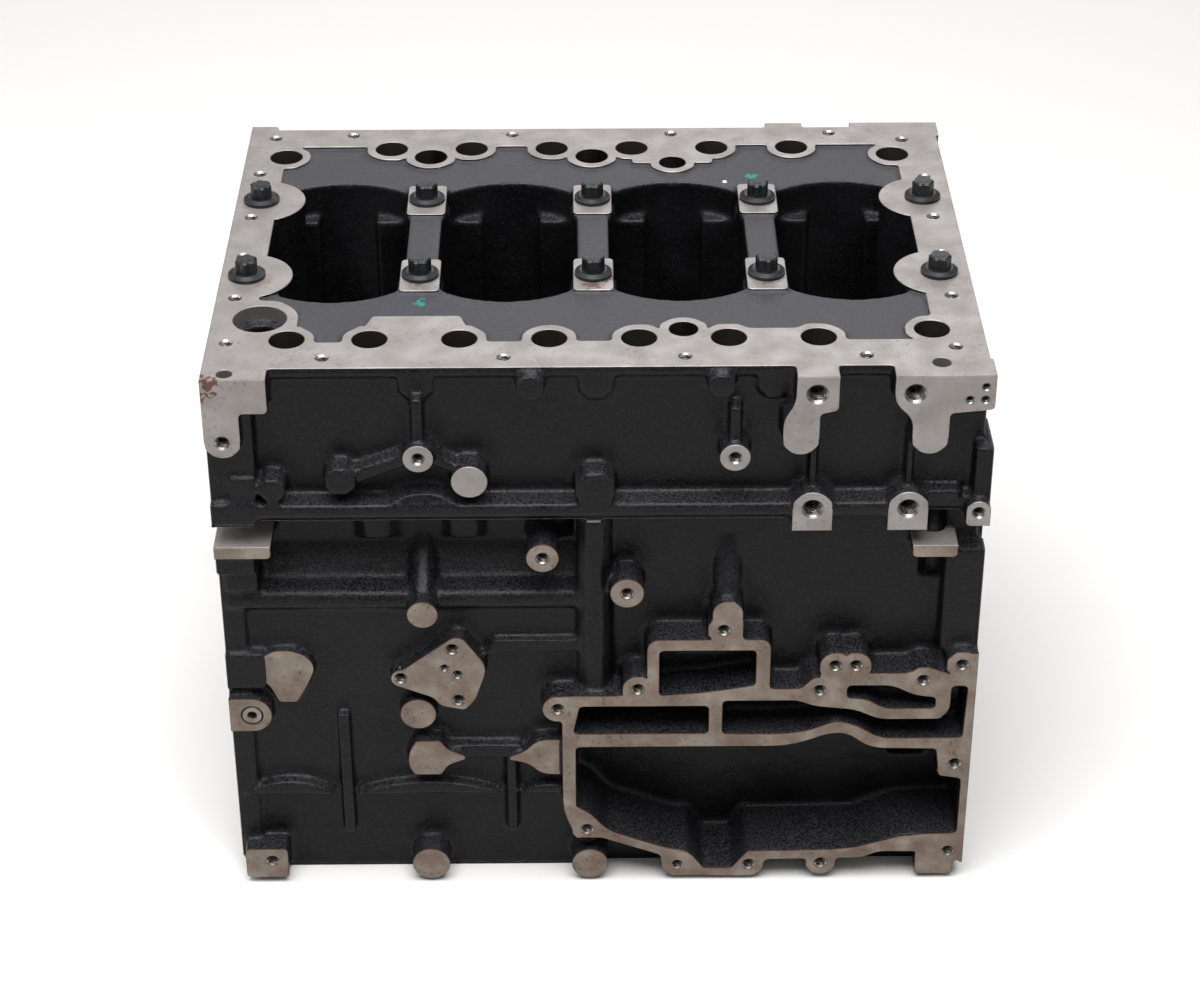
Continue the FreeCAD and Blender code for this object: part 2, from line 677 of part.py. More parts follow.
def cooler_spaces():
    """The chamber and the oil and water channels cut into its flange."""
    chamber = [
        (-19, 126.5), (140, 126.5), (167, 138), (181, 138), (198, 124), (247, 123), (250, 98), (267, 95), (267, 43),
        (224, 42), (192, 28.5), (110, 27), (98, 11), (77, 11), (65, 28), (50, 30), (4, 48), (-8, 64), (-19, 71),
    ]
    right_channel = [
        (88.5, 138), (133, 137.5), (152, 140), (172, 149.5), (188, 145), (204, 133), (265.5, 133), (267, 180),
        (255, 180), (255, 159), (248, 150.4), (202, 150.4), (187.5, 159), (154, 163), (144, 168), (88.5, 168),
    ]
    window = [(42, 173), (75, 175.5), (112, 182), (112, 213), (42, 213)]
    kidney = [(179, 170), (194, 169), (206, 160), (244, 160), (244, 170), (227, 172), (213, 181), (179, 181)]
    left_channel = [(-21, 138.5), (78.5, 138.5), (78.5, 163.5), (-16, 163.5)]
    base = ("cooler_datum", "front - 1", "0")
    return [
        extruded("chamber", chamber, base, "cooler_depth + 1"),
        extruded("right_channel", right_channel, base, "cooler_channel_depth + 1"),
        extruded("window", window, base, "cooler_channel_depth + 1"),
        extruded("kidney", kidney, base, "cooler_channel_depth - 9"),
        extruded("left_channel", left_channel, base, "cooler_channel_depth + 11"),
        slab("window_pocket", ("cooler_datum + 55", "cooler_datum + 92"),
             ("front", "front + cooler_channel_depth + 30"), ("193", "213")),
        slab("chamber_port", ("cooler_datum + 218", "cooler_datum + 247"),
             ("front + 20", "front + cooler_depth + 25"), ("77", "122")),
        slab("chamber_inlet", ("cooler_datum - 13", "cooler_datum + 19"),
             ("front + 20", "front + cooler_depth + 20"), ("100", "111")),
        tapped("chamber_tap", "front", "cooler_datum + 229", "47", 10, near="35"),
    ]


def front_details():
    """Bosses, plates, ribs and feet on the front wall of the cylinder block."""
    wall = "bedplate_wall + 2"
    deep = "front_wall + 22"
    round_bosses = [
        ("tapped_boss_1", "middle_bearing - 37.5", "parting - 27", 23, 0, deep),
        ("tapped_boss_2", "middle_bearing + 22.5", "parting - 57.5", 24, 0, deep),
        ("gallery_boss_front", "left + 16.5", "gallery_tap_height", 30, 8, wall),
        ("round_pad", "left + 138.5", "gallery_tap_height", 26, 8, wall),
        ("foot_disc_1", f"{bearing(1)}", "17", 28, 0, wall),
        ("foot_disc_2", "middle_bearing - 5", "16", 27, 0, wall),
    ]
    parts = [boss(name, "front", x, z, size, near, far) for name, x, z, size, near, far in round_bosses]
    plate = [(119, 186), (122, 180), (151, 168), (155, 161), (173, 157), (181, 166), (189, 191), (188, 199),
             (173, 221), (166, 222)]
    shield = [(26, 201), (35, 207), (50, 207), (61, 200), (64.5, 191), (58, 175), (50, 161), (37, 161), (31, 175),
              (25, 182)]
    keyhole = [(-16, -8), (-16, 4), (-10, 15), (8, 15), (13, 7), (26, 1), (26, -2), (13, -7), (8, -16), (-12, -16)]
    half_keyhole = [(-12, 0), (0, 5), (8, 15), (28, 16), (28, -17), (11, -16), (2, -6), (-12, -3)]
    parts += [
        extruded("bracket_plate", plate, ("left", "front + 6", "0"), "bedplate_wall - 4"),
        extruded("shield_pad", shield, ("left", "front + 12", "0"), "bedplate_wall - 10"),
        extruded("keyhole_pad_1", keyhole, ("left + 146", "front + 6", "113.5"), "bedplate_wall - 4"),
        extruded("keyhole_pad_2", half_keyhole, ("middle_bearing - 52", "front + 6", "113.5"), "bedplate_wall - 4"),
        slab("gallery_pad", ("left", "left + 16.5"), from_side("front", "8", wall),
             ("gallery_tap_height - 14.5", "gallery_tap_height + 14.5")),
        slab("shield_block", ("left", "left + 27"), from_side("front", "10", wall), ("174", "205")),
        extruded("ledge", [(186, 200), (195, 214), (255, 214), (255, 204), (199, 204)], ("left", "front + 13", "0"),
                 "bedplate_wall - 11"),
        slab("keyhole_ridge", ("left + 160", "middle_bearing - 56"), from_side("front", "11", wall), ("110", "121")),
        slab("rib_1", ("left + 79", "left + 87"), from_side("front", "13", wall), ("38", "148")),
        slab("rib_2", ("left + 202", "left + 210"), from_side("front", "13", wall), ("38", "110")),
        slab("foot_block_left", ("left + 4", "left + 36"), from_side("front", "0", wall), ("5", "32")),
        slab("foot_block_right", ("right - 36", "right - 7"), from_side("front", "0", "front_wall + 2"), ("4", "26")),
        rod("breather_pipe", ("middle_bearing - 1", "front + bedplate_wall", "172"), 24, "parting - 172",
            sides=BOSS_SIDES),
        slab("end_rib_front", ("left + 5", "left + 28"), from_side("front", "13", "50"),
             ("parting - 62", "parting - 40")),
        slab("end_column_front", ("right - 28", "right"), from_side("front", "10", "front_wall + 2"),
             ("205", "parting - 28")),
        lens("low_bump_1", "left + 40", "76", "66", 12, "10"),
        lens("low_bump_2", "left + 144", "76", "106", 11, "10"),
        lens("low_bump_3", "left + 233", "76", "40", 8, "10"),
    ]
    return parts


def inclined_post(name, x, z, rise, run):
    """A round post whose machined end is on the front plane and which leans back into the wall above."""
    length = math.hypot(rise, run)
    lean = FreeCAD.Rotation(V(1, 0, 0), -math.degrees(math.atan2(run, rise)))
    post = doc.addObject("Part::Prism", name)
    post.Polygon = BOSS_SIDES
    bind(post, Circumradius=10, Height=length)
    place(post, x, "front + 12", z, turn=lean.multiply(half_step(BOSS_SIDES)))
    return [post, boss(f"{name}_face", "front", x, z, 22, "0", "bedplate_wall + 2")]


def block_flange(side):
    """The outside flange at the parting plane, with a threaded boss for each rail bolt."""
    line = "rail_line_front" if side == "front" else "rail_line_back"
    rows = RAIL_FRONT if side == "front" else RAIL_BACK
    return [
        rod(f"thread_boss_{side}_{number}", (x, line, "parting - rail_thread_depth - 4"),
            "rail_ring + 2", "rail_thread_depth + 4", sides=BOSS_SIDES)
        for number, x in enumerate(rows[1:-1], start=1)
    ]


def back_details():
    """The back wall: ribs at the bulkheads, the oil gallery, the plug seats and the accessory pads."""
    wall = "back_wall + 2"
    parts = [
        rod("main_gallery", ("left + 6", "back - back_wall", "gallery_height"), "gallery_boss",
            "length - 6 - end_step", "x", BOSS_SIDES),
        slab("back_flange", ("left + 5", "right - end_step"), from_side("back", "4", wall),
             ("parting - 14", "parting")),
        slab("filter_pad", (f"{cylinder_axis(2)} - 45", f"{cylinder_axis(2)} + 45"), from_side("back", "0", wall),
             ("140", "222")),
    ]
    for index in range(BEARINGS):
        parts.append(slab(f"back_rib_{index + 1}", (f"{bearing(index)} - 5", f"{bearing(index)} + 5"),
                          from_side("back", "12", wall), ("20", "parting")))
    for index in range(CYLINDERS):
        parts.append(boss(f"plug_seat_{index + 1}", "back", cylinder_axis(index), "core_plug_height",
                          "core_plug + 14", "back_wall - 8", wall, CUP_SIDES))
    for number, x in enumerate(("left + 24", "right - 32"), start=1):
        parts.append(slab(f"back_foot_{number}", (f"{x} - 16", f"{x} + 16"), from_side("back", "0", wall),
                          ("4", "30")))
    return parts


def end_details():
    """The bell housing flange at the flywheel end and the case pads at the timing end."""
    return [
        slab("flywheel_flange", ("left", "left + 16"), ("front + 15", "back - 6"), ("12", "parting - 16")),
        slab("flywheel_block", ("left", "left + 27"), ("front + 5", "front + 30"), ("parting - 43", "parting - 26")),
        slab("flywheel_ledge", ("left", "left + 40"), from_side("front", "0", "50"), ("parting - 26", "parting - 16")),
        slab("timing_ledge", ("right - 53", "right - 21"), from_side("front", "0", "50"),
             ("parting - 28", "parting - 18")),
        slab("timing_rim_front", ("right - end_step - 2", "right"), ("front + 30", "front + 62"), ("40", "parting")),
        slab("timing_rim_back", ("right - end_step - 2", "right"), ("back - 64", "back - 32"), ("40", "parting")),
        slab("timing_rim_low", ("right - end_step - 2", "right"), ("front + 30", "back - 32"), ("0", "46")),
    ]


def end_hole_places():
    """Y and Z of the tapped holes in the two end faces."""
    flywheel = [(f"crank_offset + {round(150 * math.cos(turn), 1)}", f"parting - {round(150 * math.sin(turn), 1)}")
                for turn in (math.radians(step) for step in (22, 50, 78, 102, 130, 158))]
    timing = [("front + 46", z) for z in ("70", "150", "230", "parting - 20")]
    timing += [("back - 48", z) for z in ("70", "150", "230", "parting - 20")]
    return flywheel, timing


def head_face_holes():
    """Head bolt holes at the bulkheads and coolant passages round the bores, from the head face."""
    tools = []
    for name, x, y in main_bolt_places():
        tools.append(rod(f"head_{name}", (x, y, "-1"), "head_bolt", "head_bolt_depth + 1", sides=BOLT_SIDES))
    for index in range(CYLINDERS):
        for side, sign in (("front", "-"), ("back", "+")):
            tools.append(rod(f"coolant_{index + 1}_{side}",
                             (cylinder_axis(index), f"crank_offset {sign} bore_diameter * 0.66", "-1"),
                             "coolant_hole", "coolant_depth + 1", sides=TAP_SIDES))
    return tools


def cylinder_block():
    """The main casting: cylinders, crankcase, outer walls and every face that something bolts to."""
    solids = [
        slab("block_core", ("left + 5", "right - end_step"), ("front + 46", "back - back_wall"), ("0", "parting")),
        front_wall_left(),
        slab("front_wall_right", ("middle_bearing - 12", "right - end_step"), from_side("front", "front_wall", "60"),
             ("0", "parting")),
    ]
    solids += cooler_flange() + front_details() + back_details() + end_details()
    solids += block_flange("front") + block_flange("back")
    solids += inclined_post("long_post", f"{bearing(1)} + 1", "parting - 75", 36, 40)
    solids += inclined_post("short_post", "cooler_datum + 91", "parting - 76", 50, 22)
    shell = fused("block_solid", solids)
    bays = [
        slab(f"lower_bay_{index + 1}",
             (f"{bearing(index)} + bulkhead / 2", f"{bearing(index + 1)} - bulkhead / 2"),
             ("crank_offset - crankcase_half_width", "crank_offset + crankcase_half_width"),
             ("bay_floor", "parting - crankcase_roof"))
        for index in range(CYLINDERS)
    ]
    throats = [bay(index, f"throat_{index + 1}", "bay_floor", "parting + 1") for index in range(CYLINDERS)]
    bores = [
        rod(f"bore_{index + 1}", (cylinder_axis(index), "crank_offset", "-1"), "bore_diameter", "bay_floor + 2")
        for index in range(CYLINDERS)
    ]
    open_casting = cut("block_open", shell, bays + throats + bores)
    columns = [
        rod(f"lower_column_{name}", (x, y, "bay_floor - 5"), "column_diameter", "parting - bay_floor + 5",
            sides=BOSS_SIDES)
        for name, x, y in main_bolt_places()[2:-2]
    ]
    tools = bearing_tunnel("lower") + cooler_spaces() + head_face_holes()
    tools += dowel_seats("lower", "parting - dowel_length / 2", "dowel_length / 2 + 1")
    for name, x, y in main_bolt_places():
        tools.append(rod(f"thread_{name}", (x, y, "parting - main_thread_depth - 8"),
                         "main_bolt + 2 * fit_clearance", "main_thread_depth + 9", sides=BOLT_SIDES))
    for name, x, y in rail_bolt_places():
        tools.append(rod(f"thread_{name}", (x, y, "parting - rail_thread_depth"),
                         "rail_bolt + 2 * fit_clearance", "rail_thread_depth + 1", sides=TAP_SIDES))
    for number, (x, z) in enumerate(cooler_holes(), start=1):
        tools.append(tapped(f"cooler_hole_{number}", "front", f"cooler_datum + {x}", str(z)))
    for name, x, z in [
        ("tap_1", "middle_bearing - 37.5", "parting - 27"), ("tap_2", "middle_bearing + 22.5", "parting - 57.5"),
        ("foot_tap_1", "left + 24", "21"), ("plate_tap_1", "left + 127", "186"),
        ("plate_tap_2", "left + 165", "211.5"), ("plate_tap_3", "left + 168.5", "166"),
    ]:
        tools.append(tapped(name, "front", x, z))
    tools += [
        tapped("plate_tap_4", "front", "left + 168.5", "189", 6),
        tapped("plate_pin", "front", "left + 159", "195", 5),
        rod("ledge_hole", ("right - 36", "front + 26", "parting - 60"), 16, "62", sides=BOSS_SIDES),
    ]
    flywheel, timing = end_hole_places()
    for number, (y, z) in enumerate(flywheel, start=1):
        tools.append(rod(f"flywheel_hole_{number}", ("left - 1", y, z), "rail_bolt", "21", "x", TAP_SIDES))
    for number, (y, z) in enumerate(timing, start=1):
        tools.append(rod(f"timing_hole_{number}", ("right - 20", y, z), "tapped_hole", "21", "x", TAP_SIDES))
    tools += plug_seats()
    casting = cut("cylinder_block", fused("block_columns", [open_casting] + columns), tools)
    casting.Refine = True
    return casting


def plug_seats():
    """The bores that the core plugs and the gallery plugs sit in."""
    tools = []
    for index in range(CYLINDERS):
        tools.append(across(f"core_bore_{index + 1}", "back", cylinder_axis(index), "core_plug_height",
                            "core_plug + 2 * fit_clearance", "back_wall - 9", "back_wall - 8 + core_plug_depth",
                            CUP_SIDES))
    bore = "gallery_plug + 2 * fit_clearance"
    tools += [
        rod("gallery_bore_flywheel", ("left - 1", "back - back_wall", "gallery_height"), bore,
            "gallery_plug_depth + 1", "x", BOLT_SIDES),
        rod("gallery_bore_timing", ("right - end_step - gallery_plug_depth", "back - back_wall", "gallery_height"),
            bore, "gallery_plug_depth + 10", "x", BOLT_SIDES),
        across("gallery_bore_front", "front", "left + 16.5", "gallery_tap_height", bore, "0",
               "8 + gallery_plug_depth", BOLT_SIDES),
    ]
    return tools


def polygon_step(body, name, diameter, base, height, sides, cut_out=False):
    """A many-sided step of a turned piece, padded up from its base or cut down into it.

    The diameter is measured across the corners, and bound to the sketch's own circle.
    """
    sketch = body.newObject("Sketcher::SketchObject", f"{body.Name}_{name}_sketch")
    plane = next(item for item in body.Origin.OriginFeatures if item.Role == "XY_Plane")
    sketch.AttachmentSupport = [(plane, "")]
    sketch.MapMode = "FlatFace"
    sketch.setExpression("AttachmentOffset.Base.z", formula(base))
    radius = amount(diameter) / 2
    turns = [math.radians(360 * step / sides) for step in range(sides)]
    corners = [V(radius * math.cos(turn), radius * math.sin(turn), 0) for turn in turns]
    for index in range(sides):
        sketch.addGeometry(Part.LineSegment(corners[index], corners[(index + 1) % sides]), False)
    circle = sketch.addGeometry(Part.Circle(V(0, 0, 0), V(0, 0, 1), radius), True)
    sketch.addConstraint(Sketcher.Constraint("Coincident", circle, 3, -1, 1))
    for index in range(sides):
        sketch.addConstraint(Sketcher.Constraint("Coincident", index, 2, (index + 1) % sides, 1))
        sketch.addConstraint(Sketcher.Constraint("PointOnObject", index, 1, circle))
    for index in range(1, sides):
        sketch.addConstraint(Sketcher.Constraint("Equal", 0, index))
    sketch.addConstraint(Sketcher.Constraint("PointOnObject", 0, 1, -1))
    number = sketch.addConstraint(Sketcher.Constraint("Radius", circle, radius))
    sketch.setExpression(f"Constraints[{number}]", f"({formula(diameter)}) / 2")
    feature = body.newObject("PartDesign::Pocket" if cut_out else "PartDesign::Pad", f"{body.Name}_{name}")
    feature.Profile = sketch
    feature.Type = "Length"
    bind(feature, Length=height)
    return feature


HEXAGON = 6
ACROSS_CORNERS = "2 / sqrt(3)"


def main_bolt(name, x, y):
    """A flanged main bearing bolt, its seat at its own origin."""
    body = doc.addObject("PartDesign::Body", name)
    reach = "bedplate_height + main_thread_depth"
    polygon_step(body, "shank", "main_bolt", f"-1 * ({reach})", f"{reach} + main_flange_height", BOLT_SIDES)
    polygon_step(body, "flange", "main_bolt_flange", "0", "main_flange_height", BOSS_SIDES)
    polygon_step(body, "head", f"main_bolt_head * {ACROSS_CORNERS}", "0", "main_head_height", HEXAGON)
    return place(body, x, y, "rail")


def rail_bolt(name, x, y):
    """A rail bolt with a plain six-sided head, seated at the bottom of its counterbore."""
    body = doc.addObject("PartDesign::Body", name)
    reach = "rail_seat + rail_thread_depth - 4"
    polygon_step(body, "shank", "rail_bolt", f"-1 * ({reach})", f"{reach} + 1", TAP_SIDES)
    polygon_step(body, "head", f"rail_bolt_head * {ACROSS_CORNERS}", "0", "rail_head_height", HEXAGON)
    return place(body, x, y, "parting + rail_seat")


def ring_dowel(name, x, y):
    """A ring that locates the bedplate round a main bolt."""
    outside = prism(f"{name}_outside", (x, y, "parting - dowel_length / 2"),
                    "dowel_diameter", "dowel_length", "z", BOSS_SIDES)
    inside = prism(f"{name}_inside", (x, y, "parting - dowel_length / 2 - 1"),
                   "main_bolt + 2 * bolt_clearance", "dowel_length + 2", "z", BOSS_SIDES)
    return cut(name, outside, [inside])


def core_plug(name, x):
    """A cup pressed into the back wall, its mouth outwards."""
    body = doc.addObject("PartDesign::Body", name)
    polygon_step(body, "cup", "core_plug", "0", "core_plug_depth", CUP_SIDES)
    doc.recompute()
    inside = polygon_step(body, "inside", "core_plug - 2 * core_plug_wall", "core_plug_depth",
                          "core_plug_depth - core_plug_wall", CUP_SIDES, cut_out=True)
    inside.Reversed = False
    return place(body, x, "back - back_wall + 8 - core_plug_depth", "core_plug_height", turn=TURNS["y"])


def gallery_plug(name, at, turn):
    """A screw plug with a six-sided socket."""
    body = doc.addObject("PartDesign::Body", name)
    polygon_step(body, "plug", "gallery_plug", "0", "gallery_plug_depth", BOLT_SIDES)
    doc.recompute()
    socket = polygon_step(body, "socket", "gallery_plug / 2", "gallery_plug_depth", "gallery_plug_depth / 2",
                          HEXAGON, cut_out=True)
    socket.Reversed = False
    return place(body, *at, turn=turn)


def sub_parts():
    """Every separate piece, by the name of its node."""
    pieces = {"cylinder_block": cylinder_block(), "bedplate": bedplate()}
    for name, x, y in main_bolt_places():
        pieces[name] = main_bolt(f"{name}_body", x, y)
    for name, x, y in rail_bolt_places():
        pieces[name] = rail_bolt(f"{name}_body", x, y)
    for number, (bolt, x, y) in enumerate((main_bolt_places()[0], main_bolt_places()[-1]), start=1):
        pieces[f"ring_dowel_{number}"] = ring_dowel(f"ring_dowel_{number}_body", x, y)
    for index in range(CYLINDERS):
        name = f"core_plug_{index + 1}"
        pieces[name] = core_plug(f"{name}_body", cylinder_axis(index))
    gallery = ("back - back_wall", "gallery_height")
    pieces["gallery_plug_flywheel"] = gallery_plug(
        "gallery_plug_flywheel_body", ("left + gallery_plug_depth", *gallery), FreeCAD.Rotation(V(0, 1, 0), -90))
    pieces["gallery_plug_timing"] = gallery_plug(
        "gallery_plug_timing_body", ("right - end_step - gallery_plug_depth", *gallery), TURNS["x"])
    pieces["gallery_plug_front"] = gallery_plug(
        "gallery_plug_front_body", ("left + 16.5", "front + 8 + gallery_plug_depth", "gallery_tap_height"),
        FreeCAD.Rotation(V(1, 0, 0), 90))
    return pieces


def check_and_write(pieces):
    """Stops on a failed object or shape, then writes one STEP file for each piece."""
    failed = [item.Name for item in doc.Objects if {"Invalid", "Error"} & set(item.State)]
    if failed:
        raise RuntimeError(f"objects failed: {failed}")
    os.makedirs("parts", exist_ok=True)
    for name, item in pieces.items():
        item.Label = name
        shape = item.Shape
        if shape.isNull() or not shape.isValid() or len(shape.Solids) != 1:
            raise RuntimeError(f"{name} is not one valid solid: {len(shape.Solids)}")
    for name, item in pieces.items():
        item.Shape.exportStep(f"parts/{name}.step")
        print(f"{name}: {item.Shape.Volume / 1000:.1f} cm3, {len(item.Shape.Faces)} faces")


pieces = sub_parts()
doc.recompute()
check_and_write(pieces)
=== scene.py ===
"""A bare diesel engine block with its bedplate, standing on its head face on a pale floor.

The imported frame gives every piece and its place. Each casting is made anew from its own solid: a cast skin
with rounded edges, crisp machined faces laid into it, round bores and cut threads. Node trees make the
threads, the drilled holes and the bolts that show. Lengths are metres unless a name ends in _mm.
"""

import json
import logging
import math
from collections.abc import Callable
from dataclasses import dataclass, field
from enum import Enum

import bmesh
import bpy
import numpy as np
from mathutils import Matrix, Vector

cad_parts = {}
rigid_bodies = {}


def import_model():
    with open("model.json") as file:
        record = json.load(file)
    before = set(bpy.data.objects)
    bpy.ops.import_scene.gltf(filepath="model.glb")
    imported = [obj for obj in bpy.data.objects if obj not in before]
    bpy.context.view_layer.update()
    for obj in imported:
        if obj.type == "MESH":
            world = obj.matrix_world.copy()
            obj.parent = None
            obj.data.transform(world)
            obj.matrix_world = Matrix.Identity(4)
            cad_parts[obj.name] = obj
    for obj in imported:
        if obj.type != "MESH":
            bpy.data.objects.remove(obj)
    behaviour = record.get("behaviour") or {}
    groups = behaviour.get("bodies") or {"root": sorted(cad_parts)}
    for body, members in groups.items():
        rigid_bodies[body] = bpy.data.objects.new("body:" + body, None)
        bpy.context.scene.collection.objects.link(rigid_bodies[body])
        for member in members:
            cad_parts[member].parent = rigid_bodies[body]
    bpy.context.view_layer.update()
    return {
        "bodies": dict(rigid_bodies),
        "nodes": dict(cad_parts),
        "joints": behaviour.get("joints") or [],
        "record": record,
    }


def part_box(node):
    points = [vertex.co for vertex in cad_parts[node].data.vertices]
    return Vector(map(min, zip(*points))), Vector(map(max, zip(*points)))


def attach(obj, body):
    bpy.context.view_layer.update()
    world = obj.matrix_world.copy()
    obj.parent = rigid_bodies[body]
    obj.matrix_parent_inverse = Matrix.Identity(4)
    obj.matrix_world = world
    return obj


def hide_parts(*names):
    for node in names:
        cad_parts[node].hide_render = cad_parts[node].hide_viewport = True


LOG = logging.getLogger("engine_block")
MM = 0.001
BODY = "root"
ON_PLANE = 0.03 * MM
ROUND_WITHIN = 0.05 * MM
LARGEST_RIM = 32 * MM
LARGEST_TAP = 7 * MM
UNTAPPED_SIDES = 8
DRAIN_RADII = (10 * MM, 15 * MM)
FEWEST_CORNERS = 6
STRAIGHT_ON = math.radians(2)
WELD = 0.005 * MM
PLATE_WELD = 0.002 * MM
# cosines of a face's normal and a way: on the flat, roughly along it, on a broken edge, and neither
FLAT_ON, ALONG_IT, ON_EDGE, HALF_WAY = 0.999, 0.9, 0.4, 0.5
UP = Vector((0, 0, 1))
ALONG = Vector((1, 0, 0))
FRONT = Vector((0, -1, 0))
# what multiplies to how much of a layer shows, and the layer's hex colour
Layer = tuple[tuple[object, ...], str]


def linear(hex_colour: str) -> tuple[float, float, float, float]:
    """Turns an sRGB hex colour to linear light.

    Args:
        hex_colour: Six hex digits, such as "a9a49d".

    Returns:
        Red, green, blue and an alpha of one.
    """
    shares = [int(hex_colour[start:start + 2], 16) / 255 for start in (0, 2, 4)]
    red, green, blue = (s / 12.92 if s <= 0.04045 else ((s + 0.055) / 1.055) ** 2.4 for s in shares)
    return red, green, blue, 1.0


def per_metre(size_mm: float) -> float:
    """The texture scale at which one feature is this many millimetres across."""
    return 1000 / size_mm


def add_node(tree: bpy.types.NodeTree, kind: str, settings: dict | None = None,
             inputs: dict | None = None) -> bpy.types.Node:
    """Adds a node, with its settings, and sets or links its inputs.

    Args:
        tree: The tree that gets the node.
        kind: The node's type.
        settings: Attributes of the node.
        inputs: By input name or number, a value, an output socket, a node for its first output in use, or a
            list of these.

    Returns:
        The new node.
    """
    node = tree.nodes.new(kind)
    for name, value in (settings or {}).items():
        setattr(node, name, value)
    for key, given in (inputs or {}).items():
        for value in given if isinstance(given, list) else [given]:
            if isinstance(value, bpy.types.Node):
                value = next(socket for socket in value.outputs if socket.enabled)
            if isinstance(value, bpy.types.NodeSocket):
                tree.links.new(value, node.inputs[key])
            else:
                node.inputs[key].default_value = value
    return node


def start_material(name: str) -> tuple[bpy.types.Material, bpy.types.NodeTree, bpy.types.NodeSocket]:
    """Makes a material whose tree holds only the object's own coordinates.

    Args:
        name: The material's name.

    Returns:
        The material, its tree and the coordinates' socket.
    """
    material = bpy.data.materials.new(name)
    material.use_nodes = True
    tree = material.node_tree
    tree.nodes.clear()
    return material, tree, add_node(tree, "ShaderNodeTexCoord").outputs["Object"]


def end_material(material: bpy.types.Material, inputs: dict[str, object]) -> bpy.types.Material:
    """Gives a material its shader and its output.

    Args:
        material: The material.
        inputs: What goes into the shader, by input name.

    Returns:
        The same material.
    """
    shader = add_node(material.node_tree, "ShaderNodeBsdfPrincipled", inputs=inputs)
    add_node(material.node_tree, "ShaderNodeOutputMaterial", inputs={"Surface": shader})
    return material


def noise(tree: bpy.types.NodeTree, coords: bpy.types.NodeSocket, size_mm: float, low: float, high: float,
          detail: float = 3.0) -> bpy.types.Node:
    """Adds a noise and stretches the band between two levels to zero and one.

    Args:
        tree: The material's tree.
        coords: The coordinates that the noise reads.
        size_mm: The size of a blotch.
        low: The level that becomes zero.
        high: The level that becomes one.
        detail: How many finer layers the noise has.

    Returns:
        The node that gives the stretched value.
    """
    source = add_node(tree, "ShaderNodeTexNoise",
                      inputs={"Vector": coords, "Scale": per_metre(size_mm), "Detail": detail})
    return add_node(tree, "ShaderNodeMapRange", inputs={"Value": source, "From Min": low, "From Max": high})


def layered(tree: bpy.types.NodeTree, base: str, layers: list[Layer]) -> bpy.types.Node:
    """Lays colours over one another.

    Args:
        tree: The material's tree.
        base: The hex colour at the bottom.
        layers: The layers, from the lowest up.

    Returns:
        The node that gives the colour on top.
    """
    top = linear(base)
    for shares, colour in layers:
        shown = shares[0]
        for share in shares[1:]:
            shown = add_node(tree, "ShaderNodeMath", {"operation": "MULTIPLY"}, {0: shown, 1: share})
        top = add_node(tree, "ShaderNodeMix", {"data_type": "RGBA"},
                       {"Factor": shown, "A": top, "B": linear(colour)})
    return top


def relief(tree: bpy.types.NodeTree, coords: bpy.types.NodeSocket,
           swells: list[tuple[float, float, float]]) -> bpy.types.Node:
    """Raises a surface by noises of several sizes.

    Args:
        tree: The material's tree.
        coords: The coordinates that the noises read.
        swells: For each noise, its size and its height in millimetres, and how many finer layers it has.

    Returns:
        The node that gives the surface's normal.
    """
    below: dict[str, bpy.types.Node] = {}
    for size_mm, height_mm, detail in swells:
        swell = add_node(tree, "ShaderNodeTexNoise",
                         inputs={"Vector": coords, "Scale": per_metre(size_mm), "Detail": detail})
        below = {"Normal": add_node(tree, "ShaderNodeBump",
                                    inputs={"Height": swell, "Distance": height_mm * MM, **below})}
    return below["Normal"]


@dataclass(frozen=True)
class Dab:
    """A ragged spot: paint left by an inspector, or rust that water under a bolt's flange has left."""

    place_mm: tuple[float, float, float]
    size_mm: float
    colour: str
    strength: float = 1.0
    ragged_mm: float = 5.0

    def layer(self, tree: bpy.types.NodeTree, coords: bpy.types.NodeSocket) -> Layer:
        """Makes the spot's layer for a material.

        Args:
            tree: The material's tree.
            coords: The object's coordinates.

        Returns:
            The layer.
        """
        place = Vector(self.place_mm) * MM
        reach = add_node(tree, "ShaderNodeVectorMath", {"operation": "DISTANCE"}, {0: coords, 1: place})
        edge = add_node(tree, "ShaderNodeMath", {"operation": "MULTIPLY"},
                        {0: noise(tree, coords, self.ragged_mm, 0.35, 0.65, 4), 1: self.size_mm * MM})
        inside = add_node(tree, "ShaderNodeMath", {"operation": "LESS_THAN"}, {0: reach, 1: edge})
        return (inside, self.strength), self.colour


